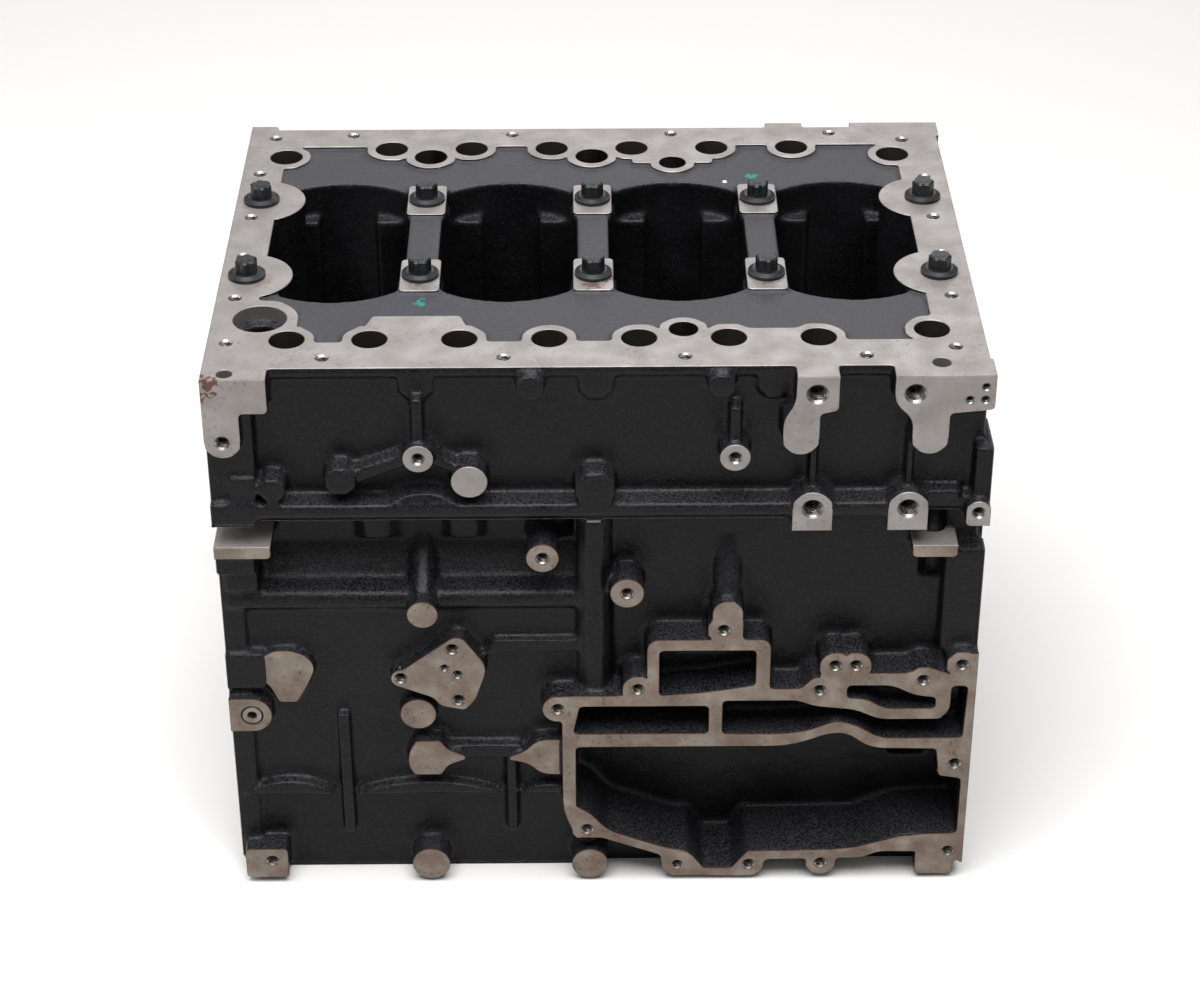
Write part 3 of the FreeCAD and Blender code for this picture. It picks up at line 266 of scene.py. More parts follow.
@dataclass(frozen=True)
class CastPaint:
    """Black engine paint over sand-cast iron. Lighter specks of the sand's grain are painted into the colour
    as a painted glint, and what faces up gets dust together with a painted sheen of the light from above.
    """

    name: str = "black_paint_on_sand_cast_iron"
    colour: str = "0a0a0b"
    worn_colour: str = "131315"
    dust_and_sheen_colour: str = "4d4d53"
    painted_glint_colour: str = "3c3d40"
    roughness: float = 0.3
    specular: float = 0.15
    blotch_mm: float = 38.0
    grain_mm: float = 1.7
    ripple_mm: float = 11.0
    grain_height_mm: float = 0.34
    ripple_height_mm: float = 0.6
    dust_and_sheen: float = 0.5
    dust_and_sheen_mm: float = 1.7
    painted_glint: float = 0.2
    worn_edge: float = 0.5
    edge_pointiness: tuple[float, float] = (0.512, 0.58)
    dabs: tuple[Dab, ...] = ()

    def build(self) -> bpy.types.Material:
        """Makes the material.

        Returns:
            The material.
        """
        material, tree, coords = start_material(self.name)
        surface = add_node(tree, "ShaderNodeNewGeometry")
        blotches = noise(tree, coords, self.blotch_mm, 0.35, 0.7, 5)
        edges = add_node(tree, "ShaderNodeMapRange", inputs={
            "Value": surface.outputs["Pointiness"], "From Min": self.edge_pointiness[0],
            "From Max": self.edge_pointiness[1], "To Max": self.worn_edge})
        normal = add_node(tree, "ShaderNodeSeparateXYZ", inputs={"Vector": surface.outputs["Normal"]})
        upward = add_node(tree, "ShaderNodeMath", {"operation": "MAXIMUM"}, {0: normal.outputs["Z"], 1: 0.0})
        layers = [
            ((blotches,), self.worn_colour),
            ((edges,), self.worn_colour),
            # dust on what faces up, laid on lighter than dust alone as a painted sheen of the light from
            # above on upward slopes
            ((upward, noise(tree, coords, self.dust_and_sheen_mm, 0.36, 0.7, 4), self.dust_and_sheen), self.dust_and_sheen_colour),
            # lighter grain specks painted into the colour everywhere: a painted glint
            ((noise(tree, coords, self.grain_mm, 0.56, 0.72, 2), self.painted_glint), self.painted_glint_colour),
            *(dab.layer(tree, coords) for dab in self.dabs),
        ]
        rough = add_node(tree, "ShaderNodeMapRange", inputs={
            "Value": blotches, "To Min": self.roughness - 0.04, "To Max": self.roughness + 0.12})
        return end_material(material, {
            "Base Color": layered(tree, self.colour, layers), "Roughness": rough,
            "Specular IOR Level": self.specular, "Normal": relief(tree, coords, [
                (self.grain_mm, self.grain_height_mm, 3.0), (self.ripple_mm, self.ripple_height_mm, 2.0)])})


@dataclass(frozen=True)
class MachinedIron:
    """Face-milled grey iron: pale and dull, with faint cutter arcs and a brown film of old oil and rust.

    The film lies thicker towards the foot of the block. The arcs are drawn coarser than a real cutter's feed,
    because that is too fine to show.
    """

    name: str
    colour: str = "8f8a88"
    shade_colour: str = "827d7a"
    film_colour: str = "6d5d52"
    stain_colour: str = "38291f"
    film: float = 0.13
    stain: float = 0.3
    roughness: float = 0.44
    metallic: float = 0.4
    cutter_step_mm: float = 15.08
    cutter_offset: tuple[float, float, float] = (0.9, 0.0, 0.9)
    shade_mm: float = 22.0
    film_mm: float = 15.0
    speck_mm: float = 3.2
    patch_mm: float = 30.0
    grain_mm: float = 1.1
    relief_mm: float = 0.02
    film_heights: tuple[float, float] = (0.42, 0.12)
    film_on_top: float = 0.2
    dabs: tuple[Dab, ...] = ()

    def build(self) -> bpy.types.Material:
        """Makes the material.

        Returns:
            The material.
        """
        material, tree, coords = start_material(self.name)
        shades = noise(tree, coords, self.shade_mm, 0.36, 0.66, 7)
        place = add_node(tree, "ShaderNodeSeparateXYZ", inputs={"Vector": coords})
        low = add_node(tree, "ShaderNodeMapRange", inputs={
            "Value": place.outputs["Z"], "From Min": self.film_heights[0], "From Max": self.film_heights[1],
            "To Min": self.film_on_top})
        specks = noise(tree, coords, self.speck_mm, 0.56, 0.68, 6)
        patches = noise(tree, coords, self.patch_mm, 0.38, 0.58, 2)
        layers = [
            ((shades,), self.shade_colour),
            ((noise(tree, coords, self.film_mm, 0.26, 0.62, 8), low, self.film), self.film_colour),
            ((specks, patches, self.stain), self.stain_colour),
            *(dab.layer(tree, coords) for dab in self.dabs),
        ]
        rough = add_node(tree, "ShaderNodeMapRange", inputs={
            "Value": shades, "To Min": self.roughness - 0.06, "To Max": self.roughness + 0.1})
        centre = add_node(tree, "ShaderNodeMapping",
                          inputs={"Vector": coords, "Location": self.cutter_offset})
        # the wave node counts twenty radians to one unit of its scale
        arcs = add_node(tree, "ShaderNodeTexWave", {"wave_type": "RINGS", "rings_direction": "SPHERICAL"}, {
            "Vector": centre, "Scale": per_metre(self.cutter_step_mm) * 2 * math.pi / 20, "Distortion": 0.6,
            "Detail": 2.0})
        grain = add_node(tree, "ShaderNodeTexNoise",
                         inputs={"Vector": coords, "Scale": per_metre(self.grain_mm), "Detail": 2.0})
        height = add_node(tree, "ShaderNodeMath", {"operation": "MULTIPLY_ADD"},
                          {0: grain, 1: 2.0, 2: arcs.outputs["Fac"]})
        bump = add_node(tree, "ShaderNodeBump",
                        inputs={"Height": height, "Distance": self.relief_mm * MM, "Strength": 0.8})
        return end_material(material, {
            "Base Color": layered(tree, self.colour, layers), "Metallic": self.metallic, "Roughness": rough,
            "Normal": bump})


@dataclass(frozen=True)
class PlainMetal:
    """A surface with an even finish, such as plate or phosphate: the eye sees its grain and its handling."""

    name: str
    colour: str
    shade_colour: str
    roughness: float
    metallic: float
    grain_mm: float = 2.0
    grain_height_mm: float = 0.03

    def build(self) -> bpy.types.Material:
        """Makes the material.

        Returns:
            The material.
        """
        material, tree, coords = start_material(self.name)
        shades = noise(tree, coords, 5 * self.grain_mm, 0.35, 0.7, 5)
        rough = add_node(tree, "ShaderNodeMapRange", inputs={
            "Value": shades, "To Min": self.roughness, "To Max": self.roughness + 0.15})
        return end_material(material, {
            "Base Color": layered(tree, self.colour, [((shades,), self.shade_colour)]),
            "Metallic": self.metallic, "Roughness": rough,
            "Normal": relief(tree, coords, [(self.grain_mm, self.grain_height_mm, 3.0)])})


INSPECTION_DABS = (
    Dab((118, 112, 438), 9.0, "1d6f66"),
    Dab((-129, -85, 438), 8.0, "1d6f66"),
    Dab((97, 102, 438), 3.5, "d8d6d2"),
)
RUST_DABS = (
    Dab((-129, -64, 441), 9.0, "6b4230", 0.6),
    Dab((-4, -66, 441), 12.0, "6b4230", 0.7),
    Dab((9, -58, 441), 9.0, "5a3526", 0.7),
    Dab((121, -62, 441), 10.0, "6b4230", 0.6),
    Dab((108, 70, 441), 9.0, "6b4230", 0.5),
    Dab((-242, -58, 441), 12.0, "7a5a48", 0.4),
    Dab((-262, 66, 441), 14.0, "7a5a48", 0.4),
    Dab((-270, -201, 436), 14.0, "56301f", 0.9),
    Dab((262, -60, 441), 10.0, "7a5a48", 0.4),
)


class Finish(Enum):
    """The finishes of the object's surfaces."""

    # engine paint brushed over a sand-cast skin: near black, with a grain that sparkles on slopes, lighter
    # specks painted in as a painted glint and a painted sheen on what faces up
    CAST = CastPaint()
    # the same black paint inside the rail, its colour lifted to slate grey as a painted sheen of the light
    # from above, with a little dust over it
    SHELF = CastPaint("black_paint_lit_grey_by_painted_sheen", "2d2d31", "37373c", "444348", roughness=0.5,
                      specular=0.35, ripple_mm=12.0, ripple_height_mm=0.5, dust_and_sheen=0.3, dabs=INSPECTION_DABS)
    # face-milled iron wiped clean: pale warm grey with soft stains and a little rust by the bolts
    MILLED = MachinedIron("milled_grey_iron", dabs=RUST_DABS)
    # milled iron that an old film of oil has browned, with darker freckles
    FILMED = MachinedIron("milled_iron_with_oil_film", "8c8279", "72685f", "5b4739", "33231a", film=0.75,
                          stain=0.55, roughness=0.5, metallic=0.25)
    # deep bores and drilled wells: dark with old oil, and darker still as painted shade, since little light
    # comes back out
    BORED = MachinedIron("bored_grey_iron", "4b4844", "3b3835", "3a2d22", "241a14", film=0.5, stain=0.3,
                         roughness=0.35, metallic=0.7, cutter_step_mm=7.54)
    # seats reamed to size: smooth and bright
    REAMED = PlainMetal("reamed_grey_iron", "b9b7b4", "a3a19e", roughness=0.26, metallic=0.85, grain_mm=1.2,
                        grain_height_mm=0.01)
    # the thin reddish line where a milled face meets the paint
    RUST_EDGE = PlainMetal("thin_rust_on_a_cut_edge", "5a3b2b", "49301f", roughness=0.75, metallic=0.0)
    # tapped threads: fresh metal that glints in dark holes
    THREAD = PlainMetal("cut_thread_in_iron", "a3a19d", "7b7874", roughness=0.26, metallic=1.0, grain_mm=0.8,
                        grain_height_mm=0.01)
    # manganese phosphate under a trace of oil: charcoal with a satin sheen
    BLACK_BOLT = PlainMetal("phosphated_bolt_steel", "212225", "303134", roughness=0.32, metallic=0.5,
                            grain_mm=1.2, grain_height_mm=0.06)
    # blackened cap screws down in their wells
    DARK_BOLT = PlainMetal("oiled_bolt_steel", "141416", "1c1c1f", roughness=0.4, metallic=0.6)
    # centreless-ground steel: smooth and light
    DOWEL = PlainMetal("ground_dowel_steel", "a9a8a6", "959492", roughness=0.28, metallic=1.0)
    # zinc plate that has lost its first shine
    PLUG = PlainMetal("dulled_zinc_plate", "8d8982", "6f6a62", roughness=0.38, metallic=0.9)
    # matt paper sweep under the object
    FLOOR = PlainMetal("pale_studio_floor", "e6e5e3", "e5e4e2", roughness=0.9, metallic=0.0, grain_mm=400.0,
                       grain_height_mm=0.0)

    def material(self) -> bpy.types.Material:
        """Gives the finish's material, made at its first use."""
        found = bpy.data.materials.get(self.value.name)
        return found or self.value.build()


def mesh_object(name: str, mesh: bpy.types.Mesh) -> bpy.types.Object:
    """Links a mesh to the scene as an object at the origin.

    Args:
        name: The object's name.
        mesh: Its mesh.

    Returns:
        The object.
    """
    item = bpy.data.objects.new(name, mesh)
    bpy.context.scene.collection.objects.link(item)
    return item


def baked(item: bpy.types.Object) -> bpy.types.Mesh:
    """Gives an object's mesh with its modifiers applied, and takes the object out of the scene.

    Args:
        item: The object with live modifiers, or a curve.

    Returns:
        The plain mesh.
    """
    bpy.context.view_layer.update()
    graph = bpy.context.evaluated_depsgraph_get()
    mesh = bpy.data.meshes.new_from_object(item.evaluated_get(graph), depsgraph=graph)
    bpy.data.objects.remove(item)
    return mesh


def put_in_place(mesh: bpy.types.Mesh, name: str, nodes: list[str]) -> bpy.types.Object:
    """Makes a mesh a finished piece that stands for nodes of the frame.

    Args:
        mesh: The piece's mesh, in the frame's own place.
        name: The piece's name.
        nodes: The nodes that it stands for.

    Returns:
        The piece.
    """
    item = mesh_object(name, mesh)
    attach(item, BODY)
    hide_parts(*nodes)
    return item


@dataclass(frozen=True)
class Rim:
    """A regular polygon on a machined face, which stands for a round hole or a round boss."""

    centre: Vector
    normal: Vector
    corner_radius: float
    sides: int
    is_hole: bool
    depth: float = 0.0

    @property
    def bore_radius(self) -> float:
        """The radius of the round hole that the polygon stands for: its flats touch it."""
        return self.corner_radius * math.cos(math.pi / self.sides)

    @property
    def is_tapped(self) -> bool:
        """Whether the hole takes a screw. Reamed holes and oil drains have eight sides."""
        return self.is_hole and self.bore_radius < LARGEST_TAP and self.sides != UNTAPPED_SIDES

    @property
    def is_reamed(self) -> bool:
        """Whether the hole is finished to size, for a dowel or a seal: oil drains are only drilled."""
        narrowest, widest = DRAIN_RADII
        return not narrowest < self.bore_radius < widest

    @property
    def plate_radius(self) -> float:
        """The radius of the rim in the machined face. A tapped hole is countersunk there."""
        if self.is_tapped:
            return self.bore_radius * ThreadedHoles.mouth
        return self.bore_radius if self.is_hole else (self.bore_radius + self.corner_radius) / 2


@dataclass(frozen=True)
class MachinedPlane:
    """A plane that a cutter has passed over: all of the casting that reaches it is bare metal."""

    normal: Vector
    level: float
    finish: Finish = Finish.MILLED
    edge_finish: Finish = Finish.MILLED
    painted_x: tuple[float, float] = (0.0, 0.0)

    def reaches(self, point: Vector) -> bool:
        """Whether a point lies on the plane."""
        return abs(point.dot(self.normal) - self.level) < ON_PLANE

    def holds(self, face: bmesh.types.BMFace) -> bool:
        """Whether a face lies on the plane, faces its way and isn't in the stretch that stays painted."""
        low, high = self.painted_x
        flat = face.normal.dot(self.normal) > FLAT_ON and all(self.reaches(vert.co) for vert in face.verts)
        return flat and not low < face.calc_center_median().x < high

    def axes(self) -> tuple[Vector, Vector]:
        """The plane's two own axes, which make a right-handed set with its normal."""
        first = Vector((0, 1, 0)) if abs(self.normal.x) > HALF_WAY else ALONG
        return first, self.normal.cross(first)

    def flat(self, point: Vector) -> Vector:
        """A point in the plane's own two axes."""
        return Vector([point.dot(axis) for axis in self.axes()])


@dataclass(frozen=True)
class Bore:
    """A machined cylinder inside a casting."""

    centre: Vector
    axis: Vector
    radius: float

    def across(self, point: Vector) -> Vector:
        """The way from the bore's axis line to a point."""
        offset = point - self.centre
        return offset - self.axis * offset.dot(self.axis)


def merged(node: str, frame: dict) -> bmesh.types.BMesh:
    """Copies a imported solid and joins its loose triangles.

    Args:
        node: The node's name.

    Returns:
        A closed mesh.
    """
    shell = bmesh.new()
    shell.from_mesh(frame["nodes"][node].data)
    bmesh.ops.remove_doubles(shell, verts=shell.verts, dist=WELD)
    shell.normal_update()
    return shell


def boundary_loops(faces: list[bmesh.types.BMFace]) -> list[tuple[list[Vector], bmesh.types.BMFace]]:
    """Finds the closed edges of a patch of faces.

    Args:
        faces: The patch.

    Returns:
        For each closed edge, its corners in order, without those on straight stretches, and a face beside it.
    """
    patch = set(faces)
    following: dict = {}
    for face in faces:
        for corner in face.loops:
            outside = [other for other in corner.edge.link_faces if other not in patch]
            if outside:
                following.setdefault(corner.vert, []).append((corner.link_loop_next.vert, outside[0]))
    loops = []
    while following:
        start, steps = next(iter(following.items()))
        points = [start.co]
        here, beside = steps.pop()
        if not steps:
            del following[start]
        while here is not start and here in following:
            points.append(here.co)
            onward = following[here]
            behind = here
            here, _ = onward.pop()
            if not onward:
                del following[behind]
        around = zip(points[-1:] + points[:-1], points, points[1:] + points[:1])
        turning = [point.copy() for before, point, after in around
                   if (point - before).angle(after - point, 0.0) > STRAIGHT_ON]
        if len(turning) > 2:
            loops.append((turning, beside))
    return loops


def round_rim(points: list[Vector], beside: bmesh.types.BMFace, normal: Vector,
              solid: bmesh.types.BMesh) -> Rim | None:
    """Reads a closed edge as a round hole or boss, if it is one.

    Args:
        points: The corners of the edge, in order.
        beside: A face that meets the edge and is not on the machined plane.
        normal: The machined plane's normal.
        solid: The solid, for the depth of a hole.

    Returns:
        The rim, or None where the edge isn't a regular polygon.
    """
    if len(points) < FEWEST_CORNERS:
        return None
    centre = sum(points, Vector()) / len(points)
    reaches = [(point - centre).length for point in points]
    if max(reaches) - min(reaches) > ROUND_WITHIN or max(reaches) > LARGEST_RIM:
        return None
    radius = sum(reaches) / len(reaches)
    is_hole = (beside.calc_center_median() - centre).dot(beside.normal) <= 0
    depth = 0.0
    if is_hole:
        column = Bore(centre, normal, radius)
        walls = [(centre - vert.co).dot(normal) for vert in solid.verts
                 if abs(column.across(vert.co).length - radius) < ON_PLANE]
        depth = min((wall for wall in walls if wall > 1 * MM), default=0.0)
    return Rim(centre, normal.copy(), radius, len(points), is_hole, depth)


def circle(centre: Vector, radius: float, steps: int) -> list[Vector]:
    """Points on a circle in a plane's own axes."""
    turns = (2 * math.pi * step / steps for step in range(steps))
    return [centre + Vector((math.cos(turn), math.sin(turn))) * radius for turn in turns]


def line_distance(point: Vector, start: Vector, end: Vector) -> float:
    """The distance from a point to a stretch of line."""
    along = end - start
    share = max(0.0, min(1.0, (point - start).dot(along) / max(along.length_squared, 1e-15)))
    return (start + along * share - point).length


def divided(loop: list[Vector], step: float, is_near: Callable[[Vector, Vector], bool]) -> list[Vector]:
    """Adds points to an outline, along the stretches that run near something.

    Args:
        loop: The outline.
        step: How far apart the points come.
        is_near: Whether a stretch from one point to another is to be divided.

    Returns:
        The outline with its new points.
    """
    line = []
    for start, end in zip(loop, loop[1:] + loop[:1]):
        steps = max(1, round((end - start).length / step)) if is_near(start, end) else 1
        line += [start.lerp(end, index / steps) for index in range(steps)]
    return line


@dataclass(frozen=True)
class BoltLobe:
    """The half-round lobe of the rail round an end bolt, which reaches into the crank bay."""

    centre: Vector
    inward: float
    radius: float
    low_z: float
    high_z: float
    clear_mm: float = 10.0
    spacing_mm: float = 1.5
    inset_mm: float = 0.7
    steps: int = 20

    def holds(self, point: Vector) -> bool:
        """Whether a point of the rail's outline lies under the lobe."""
        away = point - self.centre.xy
        return away.x * self.inward > self.clear_mm * MM and away.length < self.radius

    def bulged(self, loop: list[Vector]) -> list[Vector]:
        """Takes an outline round the lobe.

        Args:
            loop: The outline.

        Returns:
            The outline, moved out to the lobe's edge where it ran under it.
        """
        line = divided(loop, self.spacing_mm * MM,
                       lambda start, end: line_distance(self.centre.xy, start, end) < self.radius)
        farthest = max(range(len(line)), key=lambda index: (line[index] - self.centre.xy).length)
        line = line[farthest:] + line[:farthest]
        under = [index for index, point in enumerate(line) if self.holds(point)]
        if len(under) < 2:
            return loop
        first, last = under[0], under[-1]
        turns = []
        for point in (line[first], line[last]):
            away = point - self.centre.xy
            turns.append(math.atan2(away.y, away.x * self.inward))
        arc = [self.edge_point(turns[0] + (turns[1] - turns[0]) * step / self.steps)
               for step in range(self.steps + 1)]
        return line[:first] + arc + line[last + 1:]

    def edge_point(self, turn: float, inset: float = 0.0) -> Vector:
        """A point on the lobe's edge, by its angle from the inward way."""
        way = Vector((math.cos(turn) * self.inward, math.sin(turn)))
        return self.centre.xy + way * (self.radius - inset)

    def add_to(self, shell: bmesh.types.BMesh) -> None:
        """Adds the lobe's own solid to a shell."""
        turns = [math.pi * (step / self.steps - 0.5) for step in range(self.steps + 1)]
        edge = [self.edge_point(turn, self.inset_mm * MM) for turn in turns]
        rows = [[shell.verts.new((*point, level)) for point in edge] for level in (self.low_z, self.high_z)]
        faces = [shell.faces.new(row) for row in rows]
        for step in range(len(edge)):
            onward = (step + 1) % len(edge)
            corners = (rows[0][step], rows[0][onward], rows[1][onward], rows[1][step])
            faces.append(shell.faces.new(corners))
        bmesh.ops.recalc_face_normals(shell, faces=faces)


@dataclass
class Casting:
    """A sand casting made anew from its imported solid. Its turns are degrees."""

    node: str
    slot: str
    planes: list[MachinedPlane]
    bores: list[Bore]
    voxel_mm: float = 2.0
    smoothing: int = 5
    skin_triangles: int = 140000
    plate_mm: float = 2.5
    skin_depth_mm: float = 0.7
    edge_mm: float = 0.45
    lobe_mm: float = 2.4
    plate_gap_mm: float = 0.04
    fillet_mm: float = 4.0
    bore_chamfer_mm: float = 1.0
    tapped_growth_mm: float = 2.2
    plain_growth_mm: float = 1.4
    facet_mm: float = 3.0
    wall_near_mm: float = 0.6
    lobe_spacing_mm: float = 0.8
    large_rim_mm: float = 9.0
    straight_turn: float = 4.0
    sharp_turn: float = 50.0
    arc_turn: float = 9.0
    bore_turn: float = 5.0
    shelf_reach_mm: float = 1.6
    shelf_level: float | None = None
    columns: tuple[tuple[Vector, Vector], ...] = ()
    bolt_lobes: tuple[BoltLobe, ...] = ()
    rims: list[Rim] = field(default_factory=list)
    finishes: list[Finish] = field(default_factory=lambda: [Finish.CAST])

    def build(self, frame: dict) -> bpy.types.Object:
        """Makes the casting's skin, faces, bores and threads as one piece in place of its node.


        Returns:
            The finished piece.
        """
        solid = merged(self.node, frame)
        outlines = self.read_outlines(solid)
        joined = bmesh.new()
        joined.from_mesh(self.cast_skin(solid))
        for plane, loops in zip(self.planes, outlines):
            self.lay_plate(joined, plane, loops)
        self.lay_bores(joined, solid)
        tapped = [rim for rim in self.rims if rim.is_tapped]
        plain = [rim for rim in self.rims if rim.is_hole and not rim.is_tapped]
        self.lay_mesh(joined, ThreadedHoles().cut(tapped), Finish.THREAD)
        for finish in (Finish.BORED, Finish.REAMED):
            chosen = [rim for rim in plain if rim.is_reamed == (finish is Finish.REAMED)]
            if chosen:
                self.lay_mesh(joined, PlainHoles().cut(chosen), finish)
        mesh = bpy.data.meshes.new(self.node)
        joined.to_mesh(mesh)
        joined.free()
        solid.free()
        for finish in self.finishes:
            mesh.materials.append(finish.material())
        LOG.info("%s: %d threads, %d plain holes", self.node, len(tapped), len(plain))
        return put_in_place(mesh, f"{self.node}_casting", [self.node])

    def material_index(self, finish: Finish) -> int:
        """The place of a finish among the piece's materials, added at its first use."""
        if finish not in self.finishes:
            self.finishes.append(finish)
        return self.finishes.index(finish)

    def lay_mesh(self, joined: bmesh.types.BMesh, mesh: bpy.types.Mesh, finish: Finish) -> None:
        """Adds a mesh of one finish to the casting and deletes it."""
        index = self.material_index(finish)
        for polygon in mesh.polygons:
            polygon.material_index = index
        joined.from_mesh(mesh)
        bpy.data.meshes.remove(mesh)

    def read_outlines(self, solid: bmesh.types.BMesh) -> list[list[list[Vector]]]:
        """Reads the closed edges of every machined plane, and keeps its round ones as rims.

        Args:
            solid: The closed solid.

        Returns:
            For each plane, its outlines in the plane's own axes, with their corners rounded.
        """
        outlines = []
        for plane in self.planes:
            loops = []
            rounds = []
            for points, beside in boundary_loops([face for face in solid.faces if plane.holds(face)]):
                rim = round_rim(points, beside, plane.normal, solid)
                if rim is None:
                    sharp = [self.is_shared(point, plane) for point in points]
                    loops.append(self.rounded([plane.flat(point) for point in points], sharp))
                    continue
                self.rims.append(rim)
                rounds.append((plane.flat(rim.centre), rim.plate_radius, rim.is_tapped))
            lobes = [(centre, radius + self.lobe_mm * MM) for centre, radius, tapped in rounds if tapped]
            loops = [self.swollen(loop, lobes) for loop in loops]
            # the first plane is the face that carries the end bolts
            if plane is self.planes[0]:
                for lobe in self.bolt_lobes:
                    loops = [lobe.bulged(loop) for loop in loops]
            loops += [circle(centre, radius, 40 if radius > self.large_rim_mm * MM else 24)
                      for centre, radius, _ in rounds]
            outlines.append(loops)
        return outlines

    def swollen(self, loop: list[Vector], lobes: list[tuple[Vector, float]]) -> list[Vector]:
        """Keeps an outline clear of the tapped holes: metal is left all round each of them.

        Args:
            loop: The outline.
            lobes: The middle of each hole and how far out the metal must reach.

        Returns:
            The outline, bulged round any hole that comes too near.
        """
        line = divided(loop, self.lobe_spacing_mm * MM, lambda start, end: any(
            line_distance(centre, start, end) < reach for centre, reach in lobes))
        for centre, reach in lobes:
            line = [centre + (point - centre).normalized() * reach if (point - centre).length < reach
                    else point for point in line]
        return line

    def is_shared(self, point: Vector, plane: MachinedPlane) -> bool:
        """Whether a corner is also on a machined plane that faces another way, so that it stays sharp."""
        return any(other.reaches(point) and abs(other.normal.dot(plane.normal)) < HALF_WAY
                   for other in self.planes)

    def rounded(self, points: list[Vector], sharp: list[bool]) -> list[Vector]:
        """Rounds the corners of an outline: small turns become arcs again, large ones get a fillet.

        Args:
            points: The corners.
            sharp: Which of them stay as they are.

        Returns:
            The corners and the points on the arcs.
        """
        line = []
        for index, corner in enumerate(points):
            before = points[index - 1] - corner
            after = points[(index + 1) % len(points)] - corner
            turning = math.pi - before.angle(after)
            if sharp[index] or turning < math.radians(self.straight_turn):
                line.append(corner)
                continue
            shortest = min(before.length, after.length)
            reach = 0.5 * shortest
            if turning > math.radians(self.sharp_turn):
                reach = min(0.45 * shortest, self.fillet_mm * MM * math.tan(turning / 2))
            start = corner + before.normalized() * reach
            end = corner + after.normalized() * reach
            steps = max(2, round(turning / math.radians(self.arc_turn)))
            for step in range(steps + 1):
                share = step / steps
                line.append(start * (1 - share) ** 2 + corner * 2 * share * (1 - share) + end * share ** 2)
        return line

    def cast_skin(self, solid: bmesh.types.BMesh) -> bpy.types.Mesh:
        """Rounds the whole solid as a sand mould does, a little below its machined faces.

        Args:
            solid: The closed solid.

        Returns:
            The skin's mesh, with its faces marked as paint or shelf.
        """
        mesh = bpy.data.meshes.new(f"{self.node}_skin")
        solid.to_mesh(mesh)
        points = np.empty(len(mesh.vertices) * 3)
        mesh.vertices.foreach_get("co", points)
        points = points.reshape(-1, 3)
        moved = points.copy()
        depth = self.skin_depth_mm * MM
        for plane in self.planes:
            on_plane = {vert.index for face in solid.faces if plane.holds(face) for vert in face.verts}
            moved[sorted(on_plane)] -= np.array(plane.normal) * depth
        for rim in self.rims:
            if rim.is_hole:
                growth = (self.tapped_growth_mm if rim.is_tapped else self.plain_growth_mm) * MM
                self.widen(points, moved, Bore(rim.centre, rim.normal, rim.corner_radius), growth,
                           ROUND_WITHIN, rim.depth + 1 * MM)
        for bore in self.bores:
            self.widen(points, moved, bore, depth, self.facet_mm * MM, math.inf)
        mesh.vertices.foreach_set("co", moved.reshape(-1))
        mesh.update()
        self.add_columns(mesh)
        item = mesh_object(f"{self.node}_rounding", mesh)
        remesh = item.modifiers.new("sand", "REMESH")
        remesh.mode = "VOXEL"
        remesh.voxel_size = self.voxel_mm * MM
        smooth = item.modifiers.new("draft", "SMOOTH")
        smooth.factor = 0.5
        smooth.iterations = self.smoothing
        dense = baked(item)
        triangles = sum(len(polygon.vertices) - 2 for polygon in dense.polygons)
        LOG.info("%s: %d triangles before thinning", self.node, triangles)
        item = mesh_object(f"{self.node}_thinning", dense)
        thin = item.modifiers.new("thin", "DECIMATE")
        thin.ratio = min(1.0, self.skin_triangles / triangles)
        skin = baked(item)
        skin.polygons.foreach_set("use_smooth", [True] * len(skin.polygons))
        if self.shelf_level is not None:
            self.mark_shelf(skin, solid)
        return skin

    def add_columns(self, mesh: bpy.types.Mesh) -> None:
        """Adds the cast columns and lobes to the solid, so that the rounding melts them into its walls."""
        shell = bmesh.new()
        shell.from_mesh(mesh)
        for low, high in self.columns:
            place = Matrix.Translation((low + high) / 2) @ Matrix.Diagonal(high - low).to_4x4()
            bmesh.ops.create_cube(shell, size=1.0, matrix=place)
        for lobe in self.bolt_lobes:
            lobe.add_to(shell)
        shell.to_mesh(mesh)
        shell.free()

    def mark_shelf(self, skin: bpy.types.Mesh, solid: bmesh.types.BMesh) -> None:
        """Gives the recess inside the rim its own finish."""
        shelf = MachinedPlane(UP, self.shelf_level)
        corners = [vert.co for face in solid.faces if shelf.holds(face) for vert in face.verts]
        low_x, high_x = min(c.x for c in corners), max(c.x for c in corners)
        low_y, high_y = min(c.y for c in corners), max(c.y for c in corners)
        index = self.material_index(Finish.SHELF)
        for polygon in skin.polygons:
            centre = polygon.center
            near = abs(centre.z - self.shelf_level) < self.shelf_reach_mm * MM
            if near and polygon.normal.z > 0.75 and low_x < centre.x < high_x and low_y < centre.y < high_y:
                polygon.material_index = index

    @staticmethod
    def widen(points: np.ndarray, moved: np.ndarray, bore: Bore, growth: float, tolerance: float,
              reach: float) -> None:
        """Moves the corners on a cylinder's wall outwards.

        Args:
            points: All corners, as they are.
            moved: All corners, as they become.
            bore: The cylinder, its radius at its corners and its centre at its mouth.
            growth: How far each corner moves.
            tolerance: How far off the radius a corner may be.
            reach: How deep the cylinder is.
        """
        line = np.array(bore.axis)
        offsets = points - np.array(bore.centre)
        along = offsets @ line
        across = offsets - np.outer(along, line)
        distance = np.linalg.norm(across, axis=1)
        chosen = np.abs(distance - bore.radius) < tolerance
        if math.isfinite(reach):
            chosen &= (along < 0.1 * MM) & (along > -reach)
        moved[chosen] += across[chosen] / distance[chosen, None] * growth

